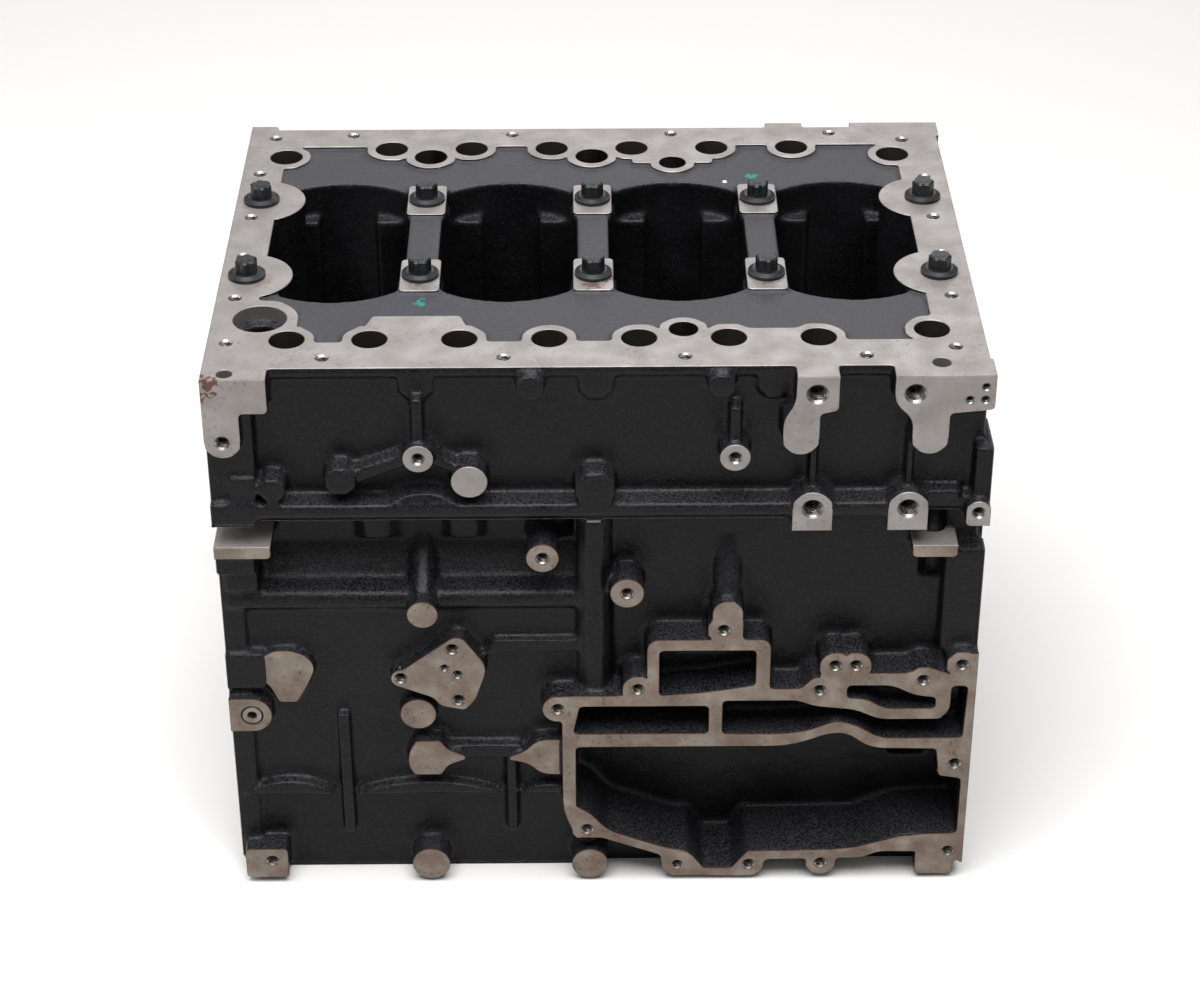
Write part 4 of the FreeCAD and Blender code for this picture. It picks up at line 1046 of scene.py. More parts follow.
    def lay_plate(self, joined: bmesh.types.BMesh, plane: MachinedPlane, loops: list[list[Vector]]) -> None:
        """Adds a machined face as a thin crisp plate with a broken edge.

        Args:
            joined: The mesh that gets the plate.
            plane: The machined plane.
            loops: The outlines of the plate and of its holes, in the plane's own axes.
        """
        if not loops:
            return
        flat = bpy.data.curves.new("plate", "CURVE")
        flat.dimensions = "2D"
        flat.fill_mode = "BOTH"
        flat.extrude = (self.plate_mm / 2 - self.edge_mm) * MM
        flat.bevel_depth = self.edge_mm * MM
        flat.bevel_resolution = 0
        flat.offset = -(self.edge_mm + self.plate_gap_mm) * MM
        for loop in loops:
            spline = flat.splines.new("POLY")
            spline.points.add(len(loop) - 1)
            spline.points.foreach_set("co", [value for point in loop for value in (*point, 0.0, 1.0)])
            spline.use_cyclic_u = True
        mesh = baked(mesh_object("plate", flat))
        first, second = plane.axes()
        turn = Matrix((first, second, plane.normal)).transposed().to_4x4()
        middle = plane.normal * (plane.level - self.plate_mm * MM / 2)
        mesh.transform(Matrix.Translation(middle) @ turn)
        plate = bmesh.new()
        plate.from_mesh(mesh)
        bpy.data.meshes.remove(mesh)
        bmesh.ops.remove_doubles(plate, verts=plate.verts, dist=PLATE_WELD)
        bmesh.ops.triangulate(plate, faces=plate.faces)
        bmesh.ops.recalc_face_normals(plate, faces=plate.faces)
        for face in plate.faces:
            face.material_index = self.material_index(self.plate_finish(face, plane))
            face.smooth = False
        copy = bpy.data.meshes.new("plate")
        plate.to_mesh(copy)
        plate.free()
        joined.from_mesh(copy)
        bpy.data.meshes.remove(copy)

    def plate_finish(self, face: bmesh.types.BMFace, plane: MachinedPlane) -> Finish:
        """Chooses the finish of one face of a plate.

        Args:
            face: The face.
            plane: The plate's own plane.

        Returns:
            Bare metal on top, its edge finish on the broken edge, and what the wall has on the side.
        """
        facing = face.normal.dot(plane.normal)
        if facing > ALONG_IT:
            return plane.finish
        if facing > ON_EDGE:
            return plane.edge_finish
        centre = face.calc_center_median()
        for other in self.planes:
            near = abs(centre.dot(other.normal) - other.level) < 3 * self.plate_gap_mm * MM
            if near and face.normal.dot(other.normal) > ALONG_IT:
                return other.finish
        for bore in self.bores:
            if abs(bore.across(centre).length - bore.radius) < self.wall_near_mm * MM:
                return Finish.BORED
        return Finish.CAST

    def lay_bores(self, joined: bmesh.types.BMesh, solid: bmesh.types.BMesh) -> None:
        """Adds the walls of the machined cylinders, true round, for each stretch that the solid has.

        Args:
            joined: The mesh that gets the walls.
            solid: The closed solid.
        """
        for bore in self.bores:
            spans: list[list[float]] = []
            heights = []
            for face in solid.faces:
                outwards = [bore.across(vert.co) for vert in face.verts]
                on_wall = all(abs(way.length - bore.radius) < self.facet_mm * MM for way in outwards)
                if not on_wall or abs(face.normal.dot(bore.axis)) > 0.01:
                    continue
                places = [(vert.co - bore.centre).dot(bore.axis) for vert in face.verts]
                spans.append([min(places), max(places)])
                heights += [way.z for way in outwards]
            low, high = -math.pi, math.pi
            if bore.axis.z < HALF_WAY and heights:
                half = math.pi / 2
                low, high = (-half, half) if max(heights) > bore.radius / 2 else (half, 3 * half)
            for start, end in self.stretches(spans):
                self.lay_wall(joined, bore, (start, end), (low, high))

    @staticmethod
    def stretches(spans: list[list[float]]) -> list[list[float]]:
        """Joins spans that touch into whole stretches."""
        whole: list[list[float]] = []
        for start, end in sorted(spans):
            if whole and start < whole[-1][1] + 0.1 * MM:
                whole[-1][1] = max(whole[-1][1], end)
            else:
                whole.append([start, end])
        return whole

    def lay_wall(self, joined: bmesh.types.BMesh, bore: Bore, span: tuple[float, float],
                 sweep: tuple[float, float]) -> None:
        """Adds one stretch of a round wall, with a chamfer at each end that opens into the casting.

        Args:
            joined: The mesh that gets the wall.
            bore: The cylinder.
            span: Where the stretch starts and ends along the axis.
            sweep: The angles that it covers, from straight up or, on an upright bore, from the block's
                length.
        """
        up = ALONG if bore.axis.z > HALF_WAY else UP
        side = bore.axis.cross(up)
        chamfer = self.bore_chamfer_mm * MM
        rings = []
        for place, inward in zip(span, (1, -1)):
            mouth = bore.centre + bore.axis * place
            if any(plane.reaches(mouth) and abs(plane.normal.dot(bore.axis)) > HALF_WAY
                   for plane in self.planes):
                rings.append((place + inward * (self.plate_mm - self.edge_mm) * MM, bore.radius))
            else:
                rings += [(place, bore.radius + chamfer), (place + inward * chamfer, bore.radius)][::inward]
        steps = round((sweep[1] - sweep[0]) / math.radians(self.bore_turn))
        index = self.material_index(Finish.BORED)
        rows = []
        for place, radius in rings:
            middle = bore.centre + bore.axis * place
            turns = (sweep[0] + (sweep[1] - sweep[0]) * step / steps for step in range(steps + 1))
            rows.append([
                joined.verts.new(middle + (up * math.cos(turn) + side * math.sin(turn)) * radius)
                for turn in turns
            ])
        for lower, upper in zip(rows, rows[1:]):
            for step in range(steps):
                wall = joined.faces.new((lower[step], upper[step], upper[step + 1], lower[step + 1]))
                wall.material_index = index
                wall.smooth = True


@dataclass(frozen=True)
class NodeTree:
    """What every node tree here shares: named inputs, copies on points, and a plain mesh as its result."""

    def begin(self, name: str, inputs: dict[str, str]) -> tuple[bpy.types.NodeTree, bpy.types.Node]:
        """Starts a tree.

        Args:
            name: The tree's name.
            inputs: The kind of each input besides the points and the material, by name.

        Returns:
            The tree and its input node.
        """
        tree = bpy.data.node_groups.new(name, "GeometryNodeTree")
        for label, kind in {"Points": "Geometry", **inputs, "Material": "Material"}.items():
            tree.interface.new_socket(label, in_out="INPUT", socket_type=f"NodeSocket{kind}")
        tree.interface.new_socket("Mesh", in_out="OUTPUT", socket_type="NodeSocketGeometry")
        return tree, add_node(tree, "NodeGroupInput")

    def end(self, tree: bpy.types.NodeTree, given: bpy.types.Node, piece: bpy.types.Node,
            turn: bpy.types.Node, size: object) -> bpy.types.NodeTree:
        """Ends a tree: a copy of the piece on each point becomes real, gets its material and goes out.

        Args:
            tree: The tree.
            given: Its input node.
            piece: The node that makes one piece.
            turn: The node that gives each copy's rotation.
            size: Each copy's scale, as a value or a node.

        Returns:
            The same tree.
        """
        copies = add_node(tree, "GeometryNodeInstanceOnPoints", inputs={
            "Points": given.outputs["Points"], "Instance": piece, "Rotation": turn, "Scale": size})
        real = add_node(tree, "GeometryNodeRealizeInstances", inputs={"Geometry": copies})
        dressed = add_node(tree, "GeometryNodeSetMaterial",
                           inputs={"Geometry": real, "Material": given.outputs["Material"]})
        add_node(tree, "NodeGroupOutput", inputs={"Mesh": dressed})
        return tree

    def grown(self, tree: bpy.types.NodeTree, places: list[Vector], attributes: dict[str, list],
              values: dict[str, object]) -> bpy.types.Mesh:
        """Runs a tree on points.

        Args:
            tree: The tree.
            places: The points.
            attributes: A number or a vector for each point, by attribute name.
            values: The values of the tree's inputs, by name.

        Returns:
            The plain mesh.
        """
        mesh = bpy.data.meshes.new("points")
        mesh.from_pydata([tuple(place) for place in places], [], [])
        for name, entries in attributes.items():
            is_vector = isinstance(entries[0], Vector)
            layer = mesh.attributes.new(name, "FLOAT_VECTOR" if is_vector else "FLOAT", "POINT")
            flat = [value for entry in entries for value in entry] if is_vector else entries
            layer.data.foreach_set("vector" if is_vector else "value", flat)
        item = mesh_object("points", mesh)
        modifier = item.modifiers.new("copies", "NODES")
        modifier.node_group = tree
        for socket in tree.interface.items_tree:
            if socket.in_out == "INPUT" and socket.name in values:
                modifier[socket.identifier] = values[socket.name]
        return baked(item)


@dataclass(frozen=True)
class Holes(NodeTree):
    """What all holes share: a wall of radius one, turned to its face and widened to its own bore."""

    def end_holes(self, tree: bpy.types.NodeTree, given: bpy.types.Node, hole: bpy.types.Node,
                  deep: str) -> bpy.types.NodeTree:
        """Ends a tree with one hole on each point.

        Args:
            tree: The tree.
            given: Its input node.
            hole: The node that makes one hole.
            deep: The attribute of the points by which the hole's depth is scaled.

        Returns:
            The same tree.
        """
        facing, bore, reach = (
            add_node(tree, "GeometryNodeInputNamedAttribute", {"data_type": kind}, {"Name": name})
            for name, kind in (("facing", "FLOAT_VECTOR"), ("bore", "FLOAT"), (deep, "FLOAT"))
        )
        turn = add_node(tree, "FunctionNodeAlignRotationToVector", inputs={"Vector": facing})
        size = add_node(tree, "ShaderNodeCombineXYZ", inputs={"X": bore, "Y": bore, "Z": reach})
        return self.end(tree, given, hole, turn, size)


@dataclass(frozen=True)
class ThreadedHoles(Holes):
    """Tapped holes, in units of the hole's radius.

    Each has a countersunk mouth, a plain wall that ends in the drill's cone, and one long helical ridge.
    """

    mouth: float = 1.17
    pitch: float = 0.34
    depth: float = 4.0
    ridge: float = 0.15
    wall_start: float = 0.3
    cone_depth: float = 0.4
    cone_tip: float = 0.01
    mouth_depth: float = 0.26
    mouth_foot: float = 0.34
    mouth_flare: float = 0.04
    throat: float = 0.94
    ridge_start: float = 0.45
    wall_sides: int = 20
    mouth_sides: int = 32
    turn_steps: int = 11

    def cut(self, rims: list[Rim]) -> bpy.types.Mesh:
        """Makes the threads of all the tapped holes of a casting.

        Args:
            rims: The holes.

        Returns:
            One mesh, with every hole in its place.
        """
        places = [rim.centre for rim in rims]
        attributes = {"facing": [rim.normal for rim in rims], "bore": [rim.bore_radius for rim in rims]}
        return self.grown(self.tree(), places, attributes, {
            "Pitch": self.pitch, "Depth": self.depth, "Mouth": self.mouth, "Ridge": self.ridge,
            "Material": Finish.THREAD.material()})

    def tree(self) -> bpy.types.NodeTree:
        """Builds the node tree that puts a threaded hole at each point.

        Returns:
            The tree.
        """
        sizes = ("Pitch", "Depth", "Mouth", "Ridge")
        tree, given = self.begin("threaded_holes", dict.fromkeys(sizes, "Float"))
        depth = given.outputs["Depth"]
        length = add_node(tree, "ShaderNodeMath", {"operation": "SUBTRACT"}, {0: depth, 1: self.wall_start})
        wall = add_node(tree, "GeometryNodeMeshCylinder", {"fill_type": "NONE"},
                        {"Vertices": self.wall_sides, "Radius": 1.0, "Depth": length})
        cone = add_node(tree, "GeometryNodeMeshCone", {"fill_type": "NONE"}, {
            "Vertices": self.wall_sides, "Radius Top": 1.0, "Radius Bottom": self.cone_tip,
            "Depth": self.cone_depth})
        flare = add_node(tree, "ShaderNodeMath", {"operation": "ADD"},
                         {0: given.outputs["Mouth"], 1: self.mouth_flare})
        mouth = add_node(tree, "GeometryNodeMeshCone", {"fill_type": "NONE"}, {
            "Vertices": self.mouth_sides, "Radius Top": flare, "Radius Bottom": self.throat,
            "Depth": self.mouth_depth})
        turns = add_node(tree, "ShaderNodeMath", {"operation": "DIVIDE"},
                         {0: depth, 1: given.outputs["Pitch"]})
        helix = add_node(tree, "GeometryNodeCurveSpiral", inputs={
            "Resolution": self.turn_steps, "Rotations": turns, "Start Radius": 1.0, "End Radius": 1.0,
            "Height": depth})
        profile = add_node(tree, "GeometryNodeCurvePrimitiveCircle",
                           inputs={"Resolution": 3, "Radius": given.outputs["Ridge"]})
        ridge = add_node(tree, "GeometryNodeCurveToMesh", inputs={"Curve": helix, "Profile Curve": profile})
        placed = []
        for piece, share, offset in ((wall, -0.5, self.wall_start / 2), (cone, -1.0, self.cone_depth),
                                     (mouth, 0.0, self.mouth_foot), (ridge, -1.0, self.ridge_start)):
            level = add_node(tree, "ShaderNodeMath", {"operation": "MULTIPLY_ADD"},
                             {0: depth, 1: share, 2: -offset})
            place = add_node(tree, "ShaderNodeCombineXYZ", inputs={"Z": level})
            placed.append(add_node(tree, "GeometryNodeTransform",
                                   inputs={"Geometry": piece, "Translation": place}))
        shell = add_node(tree, "GeometryNodeJoinGeometry", inputs={"Geometry": placed[:3]})
        shell = add_node(tree, "GeometryNodeFlipFaces", inputs={"Mesh": shell})
        hole = add_node(tree, "GeometryNodeJoinGeometry", inputs={"Geometry": [shell, placed[3]]})
        return self.end_holes(tree, given, hole, "bore")


@dataclass(frozen=True)
class PlainHoles(Holes):
    """Drilled and counterbored holes: a true round wall from the machined face to the hole's own depth."""

    gap_mm: float = 0.1
    start_mm: float = 0.3
    least_mm: float = 2.0
    corners: int = 40

    def cut(self, rims: list[Rim]) -> bpy.types.Mesh:
        """Makes the walls of all the plain holes of a casting.

        Args:
            rims: The holes.

        Returns:
            One mesh, with every hole in its place.
        """
        start, gap = self.start_mm * MM, self.gap_mm * MM
        places = [rim.centre - rim.normal * start for rim in rims]
        attributes = {"facing": [rim.normal for rim in rims], "bore": [rim.bore_radius - gap for rim in rims],
                      "reach": [max(rim.depth - start, self.least_mm * MM) for rim in rims]}
        return self.grown(self.tree(), places, attributes,
                          {"Corners": self.corners, "Material": Finish.BORED.material()})

    def tree(self) -> bpy.types.NodeTree:
        """Builds the node tree that puts a round wall at each point.

        Returns:
            The tree.
        """
        tree, given = self.begin("plain_holes", {"Corners": "Int"})
        wall = add_node(tree, "GeometryNodeMeshCylinder", {"fill_type": "NONE"},
                        {"Vertices": given.outputs["Corners"], "Radius": 1.0, "Depth": 1.0})
        wall = add_node(tree, "GeometryNodeTransform", inputs={"Geometry": wall, "Translation": (0, 0, -0.5)})
        wall = add_node(tree, "GeometryNodeFlipFaces", inputs={"Mesh": wall})
        wall = add_node(tree, "GeometryNodeSetShadeSmooth", inputs={"Geometry": wall})
        return self.end_holes(tree, given, wall, "reach")


@dataclass(frozen=True)
class FlangeBolts(NodeTree):
    """The main bearing bolts: a broad flange, a six-lobed head with a broken top edge, a shallow dimple."""

    flange_mm: float = 27.0
    flange_height_mm: float = 2.4
    slope_share: float = 0.97
    collar_mm: float = 20.0
    collar_height_mm: float = 4.2
    lobe_mm: float = 19.4
    valley_mm: float = 13.4
    lobes: int = 6
    lobe_fillet_mm: float = 2.6
    head_height_mm: float = 12.8
    top_height_mm: float = 14.0
    top_share: float = 0.86
    dimple_mm: float = 8.0
    dimple_height_mm: float = 0.4
    shank_mm: float = 14.0
    shank_length_mm: float = 182.0
    seed: int = 7

    def fit(self, names: list[str]) -> bpy.types.Object:
        """Puts a bolt on the seat of each node.

        Args:
            names: The bolts' nodes.

        Returns:
            All the bolts as one piece.
        """
        places = []
        for name in names:
            low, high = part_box(name)
            middle = (low + high) / 2
            places.append(Vector((middle.x, middle.y, high.z - self.top_height_mm * MM)))
        mesh = self.grown(self.tree(), places, {}, {
            "Flange": self.flange_mm * MM / 2, "Collar": self.collar_mm * MM / 2,
            "Lobe": self.lobe_mm * MM / 2, "Valley": self.valley_mm * MM / 2, "Seed": self.seed,
            "Material": Finish.BLACK_BOLT.material()})
        return put_in_place(mesh, "main_bolts", names)

    def tree(self) -> bpy.types.NodeTree:
        """Builds the node tree that puts a bolt at each point.

        Returns:
            The tree.
        """
        tree, given = self.begin("flange_bolts", {
            **dict.fromkeys(("Flange", "Collar", "Lobe", "Valley"), "Float"), "Seed": "Int"})
        flange = given.outputs["Flange"]
        thick, shank = self.flange_height_mm * MM, self.shank_length_mm * MM
        head, top = self.head_height_mm * MM, self.top_height_mm * MM
        slope = add_node(tree, "ShaderNodeMath", {"operation": "MULTIPLY"}, {0: flange, 1: self.slope_share})
        turned = (
            ("Cylinder", "NGON", {"Vertices": 48, "Radius": flange, "Depth": thick}, thick / 2),
            ("Cone", "NGON", {"Vertices": 48, "Radius Top": given.outputs["Collar"], "Radius Bottom": slope,
                              "Depth": self.collar_height_mm * MM - thick}, thick),
            ("Cylinder", "NGON", {"Vertices": 24, "Radius": self.shank_mm * MM / 2, "Depth": shank},
             -shank / 2),
            ("Cylinder", "TRIANGLE_FAN", {"Vertices": 32, "Radius": self.dimple_mm * MM / 2,
                                          "Depth": self.dimple_height_mm * MM}, top),
        )
        pieces = []
        for form, fill, sizes, level in turned:
            solid = add_node(tree, f"GeometryNodeMesh{form}", {"fill_type": fill}, sizes)
            pieces.append(add_node(tree, "GeometryNodeTransform",
                                   inputs={"Geometry": solid, "Translation": (0, 0, level)}))
        star = add_node(tree, "GeometryNodeCurveStar", inputs={
            "Points": self.lobes, "Inner Radius": given.outputs["Valley"],
            "Outer Radius": given.outputs["Lobe"]})
        lobed = add_node(tree, "GeometryNodeFilletCurve", {"mode": "POLY"}, {
            "Curve": star, "Count": 4, "Radius": self.lobe_fillet_mm * MM, "Limit Radius": True})
        face = add_node(tree, "GeometryNodeFillCurve", {"mode": "NGONS"}, {"Curve": lobed})
        side = add_node(tree, "GeometryNodeExtrudeMesh", inputs={
            "Mesh": face, "Offset": (0, 0, 1), "Offset Scale": head, "Individual": False})
        broken = add_node(tree, "GeometryNodeExtrudeMesh", inputs={
            "Mesh": side, "Selection": side.outputs["Top"], "Offset": (0, 0, 1), "Offset Scale": top - head,
            "Individual": False})
        pieces.append(add_node(tree, "GeometryNodeScaleElements", inputs={
            "Geometry": broken, "Selection": broken.outputs["Top"], "Scale": self.top_share}))
        bolt = add_node(tree, "GeometryNodeJoinGeometry", inputs={"Geometry": pieces})
        spin = add_node(tree, "FunctionNodeRandomValue", {"data_type": "FLOAT"},
                        {"Max": 2 * math.pi / self.lobes, "Seed": given.outputs["Seed"]})
        turn = add_node(tree, "ShaderNodeCombineXYZ", inputs={"Z": spin})
        return self.end(tree, given, bolt, turn, (1, 1, 1))


@dataclass(frozen=True)
class Ring:
    """A ring of a turned plug: its radius and its depth below the outer face, as shares of the node's own."""

    radius: float
    depth: float
    is_hexagonal: bool = False

    def reach(self, turn: float) -> float:
        """How far out the ring lies at an angle: on a hexagon, the flats are one radius away."""
        if not self.is_hexagonal:
            return self.radius
        sector = math.pi / 3
        return self.radius / math.cos((turn + sector / 2) % sector - sector / 2)


@dataclass(frozen=True)
class TurnedPlug:
    """A plug turned on a lathe, from the rings of its inner end to its outer face and into its recess."""

    rings: tuple[Ring, ...]
    steps: int = 48

    def fit(self, name: str, outward: Vector) -> bpy.types.Object:
        """Puts the plug in the place of its node.

        Args:
            name: The plug's node.
            outward: The way that its outer face looks.

        Returns:
            The plug.
        """
        low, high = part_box(name)
        extent = high - low
        length = abs(extent.dot(outward))
        radius = (sum(extent) - length) / 4
        face = (low + high) / 2 + outward * length / 2
        side = UP.cross(outward)
        turns = [2 * math.pi * step / self.steps for step in range(self.steps)]
        shell = bmesh.new()
        rows = []
        for ring in self.rings:
            middle = face - outward * length * ring.depth
            ways = [(side * math.cos(turn) + UP * math.sin(turn)) * ring.reach(turn) for turn in turns]
            rows.append([shell.verts.new(middle + way * radius) for way in ways])
        for lower, upper in zip(rows, rows[1:]):
            for step in range(self.steps):
                onward = (step + 1) % self.steps
                shell.faces.new((lower[step], lower[onward], upper[onward], upper[step]))
        for row in (rows[0], rows[-1]):
            shell.faces.new(row)
        bmesh.ops.recalc_face_normals(shell, faces=shell.faces)
        mesh = bpy.data.meshes.new(name)
        shell.to_mesh(mesh)
        shell.free()
        mesh.materials.append(Finish.PLUG.material())
        return put_in_place(mesh, f"{name}_turned", [name])


CORE_PLUG = TurnedPlug((Ring(1.0, 1.0), Ring(1.0, 0.08), Ring(0.95, 0.0), Ring(0.88, 0.0), Ring(0.85, 0.08),
                        Ring(0.85, 0.66), Ring(0.76, 0.76)))
SOCKET_PLUG = TurnedPlug((Ring(1.0, 1.0), Ring(1.0, 0.1), Ring(0.93, 0.0), Ring(0.5, 0.0),
                          Ring(0.42, 0.06, True), Ring(0.42, 0.5, True)))


@dataclass(frozen=True)
class SoftLight:
    """A large rectangular lamp. Its place, its aim and its two sides are metres, its power is watts."""

    name: str
    place: tuple[float, float, float]
    aim: tuple[float, float, float]
    sides: tuple[float, float]
    power: float

    def hang(self) -> None:
        """Puts the lamp into the scene."""
        data = bpy.data.lights.new(self.name, "AREA")
        data.shape = "RECTANGLE"
        data.size, data.size_y = self.sides
        data.energy = self.power
        lamp = bpy.data.objects.new(self.name, data)
        lamp.location = self.place
        lamp.rotation_euler = (Vector(self.aim) - Vector(self.place)).to_track_quat("-Z", "Y").to_euler()
        bpy.context.scene.collection.objects.link(lamp)


@dataclass(frozen=True)
class Studio:
    """The pale floor, the soft lights and the camera of the photograph. Its turns are degrees."""

    lens_mm: float = 87.24
    sensor_mm: float = 36.0
    camera_place_mm: tuple[float, float, float] = (-12.6, -1909.0, 1434.4)
    pitch_down: float = 32.58
    yaw: float = 0.40
    roll: float = 0.16
    floor_size: float = 40.0
    horizon_light: float = 0.12
    zenith_light: float = 0.75
    lamps: tuple[SoftLight, ...] = (
        SoftLight("overhead", (-0.1, -0.75, 2.25), (0.0, -0.1, 0.2), (2.0, 1.5), 72.0),
        SoftLight("left", (-2.2, 0.2, 1.9), (0.0, 0.0, 0.2), (0.7, 1.2), 10.0),
        SoftLight("back", (0.3, 2.2, 1.9), (0.0, 0.0, 0.2), (1.6, 1.0), 12.0),
    )

    def build(self) -> None:
        """Sets out the whole studio."""
        self.floor()
        for lamp in self.lamps:
            lamp.hang()
        self.sky()
        self.camera()
        bpy.context.scene.view_settings.view_transform = "Standard"

    def floor(self) -> None:
        """Lays the floor."""
        half = self.floor_size / 2
        corners = [(-half, -half, 0), (half, -half, 0), (half, half, 0), (-half, half, 0)]
        mesh = bpy.data.meshes.new("floor")
        mesh.from_pydata(corners, [], [(0, 1, 2, 3)])
        mesh.materials.append(Finish.FLOOR.material())
        mesh_object("floor", mesh)

    def sky(self) -> None:
        """Makes the room bright overhead and dim at eye level, as in a photographer's light tent."""
        world = bpy.data.worlds.new("light_tent")
        world.use_nodes = True
        tree = world.node_tree
        tree.nodes.clear()
        way = add_node(tree, "ShaderNodeTexCoord").outputs["Generated"]
        height = add_node(tree, "ShaderNodeSeparateXYZ", inputs={"Vector": way}).outputs["Z"]
        strength = add_node(tree, "ShaderNodeMapRange", inputs={
            "Value": height, "To Min": self.horizon_light, "To Max": self.zenith_light})
        light = add_node(tree, "ShaderNodeBackground",
                         inputs={"Color": linear("ffffff"), "Strength": strength})
        add_node(tree, "ShaderNodeOutputWorld", inputs={"Surface": light})
        bpy.context.scene.world = world

    def camera(self) -> None:
        """Places the camera where the photograph was taken from."""
        data = bpy.data.cameras.new("camera")
        data.sensor_width = self.sensor_mm
        data.lens = self.lens_mm
        camera = bpy.data.objects.new("camera", data)
        pitch, yaw, roll = (math.radians(turn) for turn in (self.pitch_down, self.yaw, self.roll))
        forward = Vector((math.sin(yaw) * math.cos(pitch), math.cos(yaw) * math.cos(pitch), -math.sin(pitch)))
        level = Vector((math.cos(yaw), -math.sin(yaw), 0))
        down = forward.cross(level)
        right = level * math.cos(roll) + down * math.sin(roll)
        below = down * math.cos(roll) - level * math.sin(roll)
        turn = Matrix((right, -below, -forward)).transposed().to_4x4()
        camera.matrix_world = Matrix.Translation(Vector(self.camera_place_mm) * MM) @ turn
        bpy.context.scene.collection.objects.link(camera)
        bpy.context.scene.camera = camera


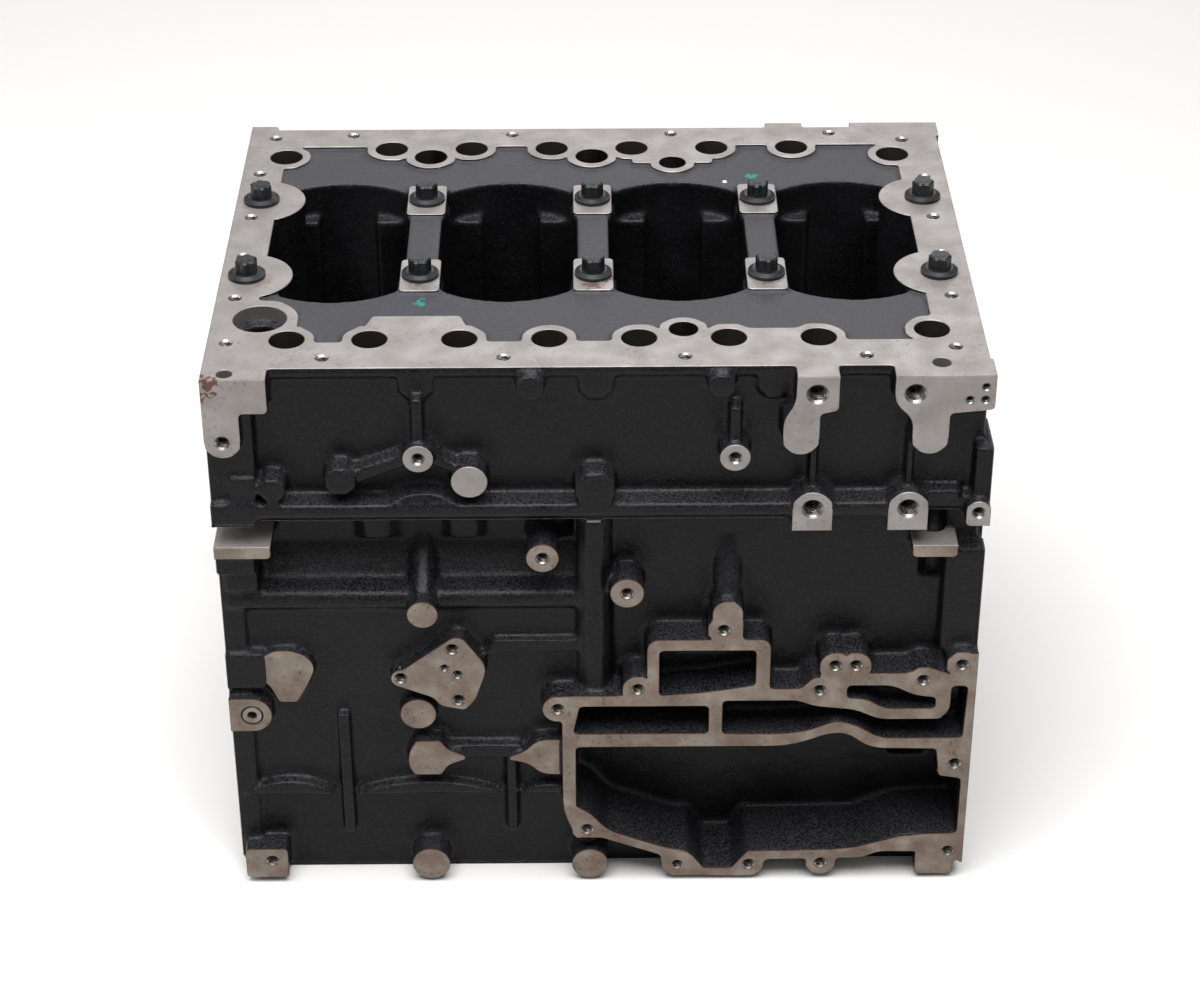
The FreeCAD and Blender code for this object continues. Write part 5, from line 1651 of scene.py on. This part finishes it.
@dataclass(frozen=True)
class BlockPlan:
    """Where the machined faces, bores, columns and lobes of this block lie. The two levels are metres."""

    parting: float
    rail: float
    crank_y_mm: float = 9.0
    tunnel_radii_mm: tuple[float, ...] = (42.0, 59.0)
    cylinder_radius_mm: float = 51.5
    first_cylinder_x_mm: float = -191.5
    cylinder_pitch_mm: float = 125.0
    cylinder_count: int = 4
    front_steps_mm: tuple[int, ...] = (0, 6, 8, 12)
    painted_rib_step_mm: int = 8
    painted_rib_x_mm: tuple[float, float] = (-11.0, 1.0)
    top_steps_mm: tuple[int, ...] = (16, 18)
    back_step_mm: float = 19.0
    shelf_depth_mm: float = 3.0
    column_x_mm: tuple[float, float] = (22.0, 46.0)
    column_y_mm: tuple[tuple[float, float], ...] = ((87.0, 104.0), (-86.0, -69.0))
    column_top_mm: float = 28.0
    lobe_radius_mm: float = 33.0
    lobe_foot_mm: float = 9.0
    lobe_top_mm: float = 0.7

    def planes(self, node: str) -> list[MachinedPlane]:
        """Lists the planes that are machined on a casting.

        Args:
            node: The casting's node.

        Returns:
            Its planes, with the finish of each.
        """
        low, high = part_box(node)
        planes = [
            MachinedPlane(UP, high.z),
            MachinedPlane(-FRONT, high.y),
            MachinedPlane(-ALONG, -low.x),
            MachinedPlane(ALONG, high.x),
            MachinedPlane(-UP, -low.z),
        ]
        if node == "bedplate":
            return planes + [MachinedPlane(FRONT, -low.y), MachinedPlane(-UP, -self.parting)]
        for step in self.front_steps_mm:
            near, far = self.painted_rib_x_mm if step == self.painted_rib_step_mm else (0.0, 0.0)
            planes.append(MachinedPlane(FRONT, -low.y - step * MM, Finish.FILMED, Finish.RUST_EDGE,
                                        (near * MM, far * MM)))
        planes += [MachinedPlane(UP, high.z - step * MM) for step in self.top_steps_mm]
        planes.append(MachinedPlane(-FRONT, high.y - self.back_step_mm * MM, Finish.CAST, Finish.CAST))
        return planes

    def tunnels(self) -> list[Bore]:
        """The bearing bores and the wider seal bores, all on the crankshaft's line."""
        crank = Vector((0, self.crank_y_mm * MM, self.parting))
        return [Bore(crank, ALONG, radius * MM) for radius in self.tunnel_radii_mm]

    def cylinders(self) -> list[Bore]:
        """The cylinder bores, from the head face up, each in line with the middle of a crank bay."""
        places_x = [(self.first_cylinder_x_mm + self.cylinder_pitch_mm * index) * MM
                    for index in range(self.cylinder_count)]
        return [Bore(Vector((place, self.crank_y_mm * MM, 0)), UP, self.cylinder_radius_mm * MM)
                for place in places_x]

    def columns(self) -> tuple[tuple[Vector, Vector], ...]:
        """Places the cast columns that carry the bearing bolts, two at each end of every crank bay.

        Returns:
            The low and the high corner of each column.
        """
        near, far = (edge * MM for edge in self.column_x_mm)
        top = self.rail - self.column_top_mm * MM
        return tuple(
            (Vector((bore.centre.x + start, low * MM, self.parting)),
             Vector((bore.centre.x + end, high * MM, top)))
            for bore in self.cylinders() for start, end in ((-far, -near), (near, far))
            for low, high in self.column_y_mm
        )

    def lobes(self) -> tuple[BoltLobe, ...]:
        """The lobes round the two bolts at each end of the block."""
        foot, top = self.parting + self.lobe_foot_mm * MM, self.rail - self.lobe_top_mm * MM
        ends = ((number, inward, side) for number, inward in ((1, 1), (5, -1)) for side in ("front", "back"))
        return tuple(
            BoltLobe(sum(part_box(f"main_bolt_{number}_{side}"), Vector()) / 2, inward,
                     self.lobe_radius_mm * MM, foot, top)
            for number, inward, side in ends
        )


def main() -> None:
    """Builds every piece in order and reports each."""
    logging.basicConfig(level=logging.INFO, format="%(name)s: %(message)s")
    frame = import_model()
    Studio().build()
    plan = BlockPlan(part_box("cylinder_block")[1].z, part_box("bedplate")[1].z)
    castings = [
        Casting("cylinder_block", "block_casting", plan.planes("cylinder_block"),
                plan.tunnels() + plan.cylinders()),
        Casting("bedplate", "bedplate_casting", plan.planes("bedplate"), plan.tunnels(), voxel_mm=1.8,
                shelf_level=plan.rail - plan.shelf_depth_mm * MM, columns=plan.columns(),
                bolt_lobes=plan.lobes()),
    ]
    for casting in castings:
        item = casting.build(frame)
        LOG.info("%s: %d polygons, %d rims", item.name, len(item.data.polygons), len(casting.rims))
    bolts = FlangeBolts().fit(sorted(name for name in frame["nodes"] if name.startswith("main_bolt")))
    LOG.info("%s: %d polygons", bolts.name, len(bolts.data.polygons))
    plugs = [(f"core_plug_{number}", CORE_PLUG, -FRONT) for number in range(1, 5)]
    plugs += [("gallery_plug_flywheel", SOCKET_PLUG, -ALONG), ("gallery_plug_timing", SOCKET_PLUG, ALONG),
              ("gallery_plug_front", SOCKET_PLUG, FRONT)]
    for name, plug, outward in plugs:
        LOG.info("%s: %d polygons", name, len(plug.fit(name, outward).data.polygons))
    for name, node in frame["nodes"].items():
        if node.hide_render:
            continue
        finish = Finish.DARK_BOLT if "bolt" in name else Finish.DOWEL
        node.data.materials.clear()
        node.data.materials.append(finish.material())
        LOG.info("%s: %s", name, finish.value.name)


if __name__ == "__main__":
    main()
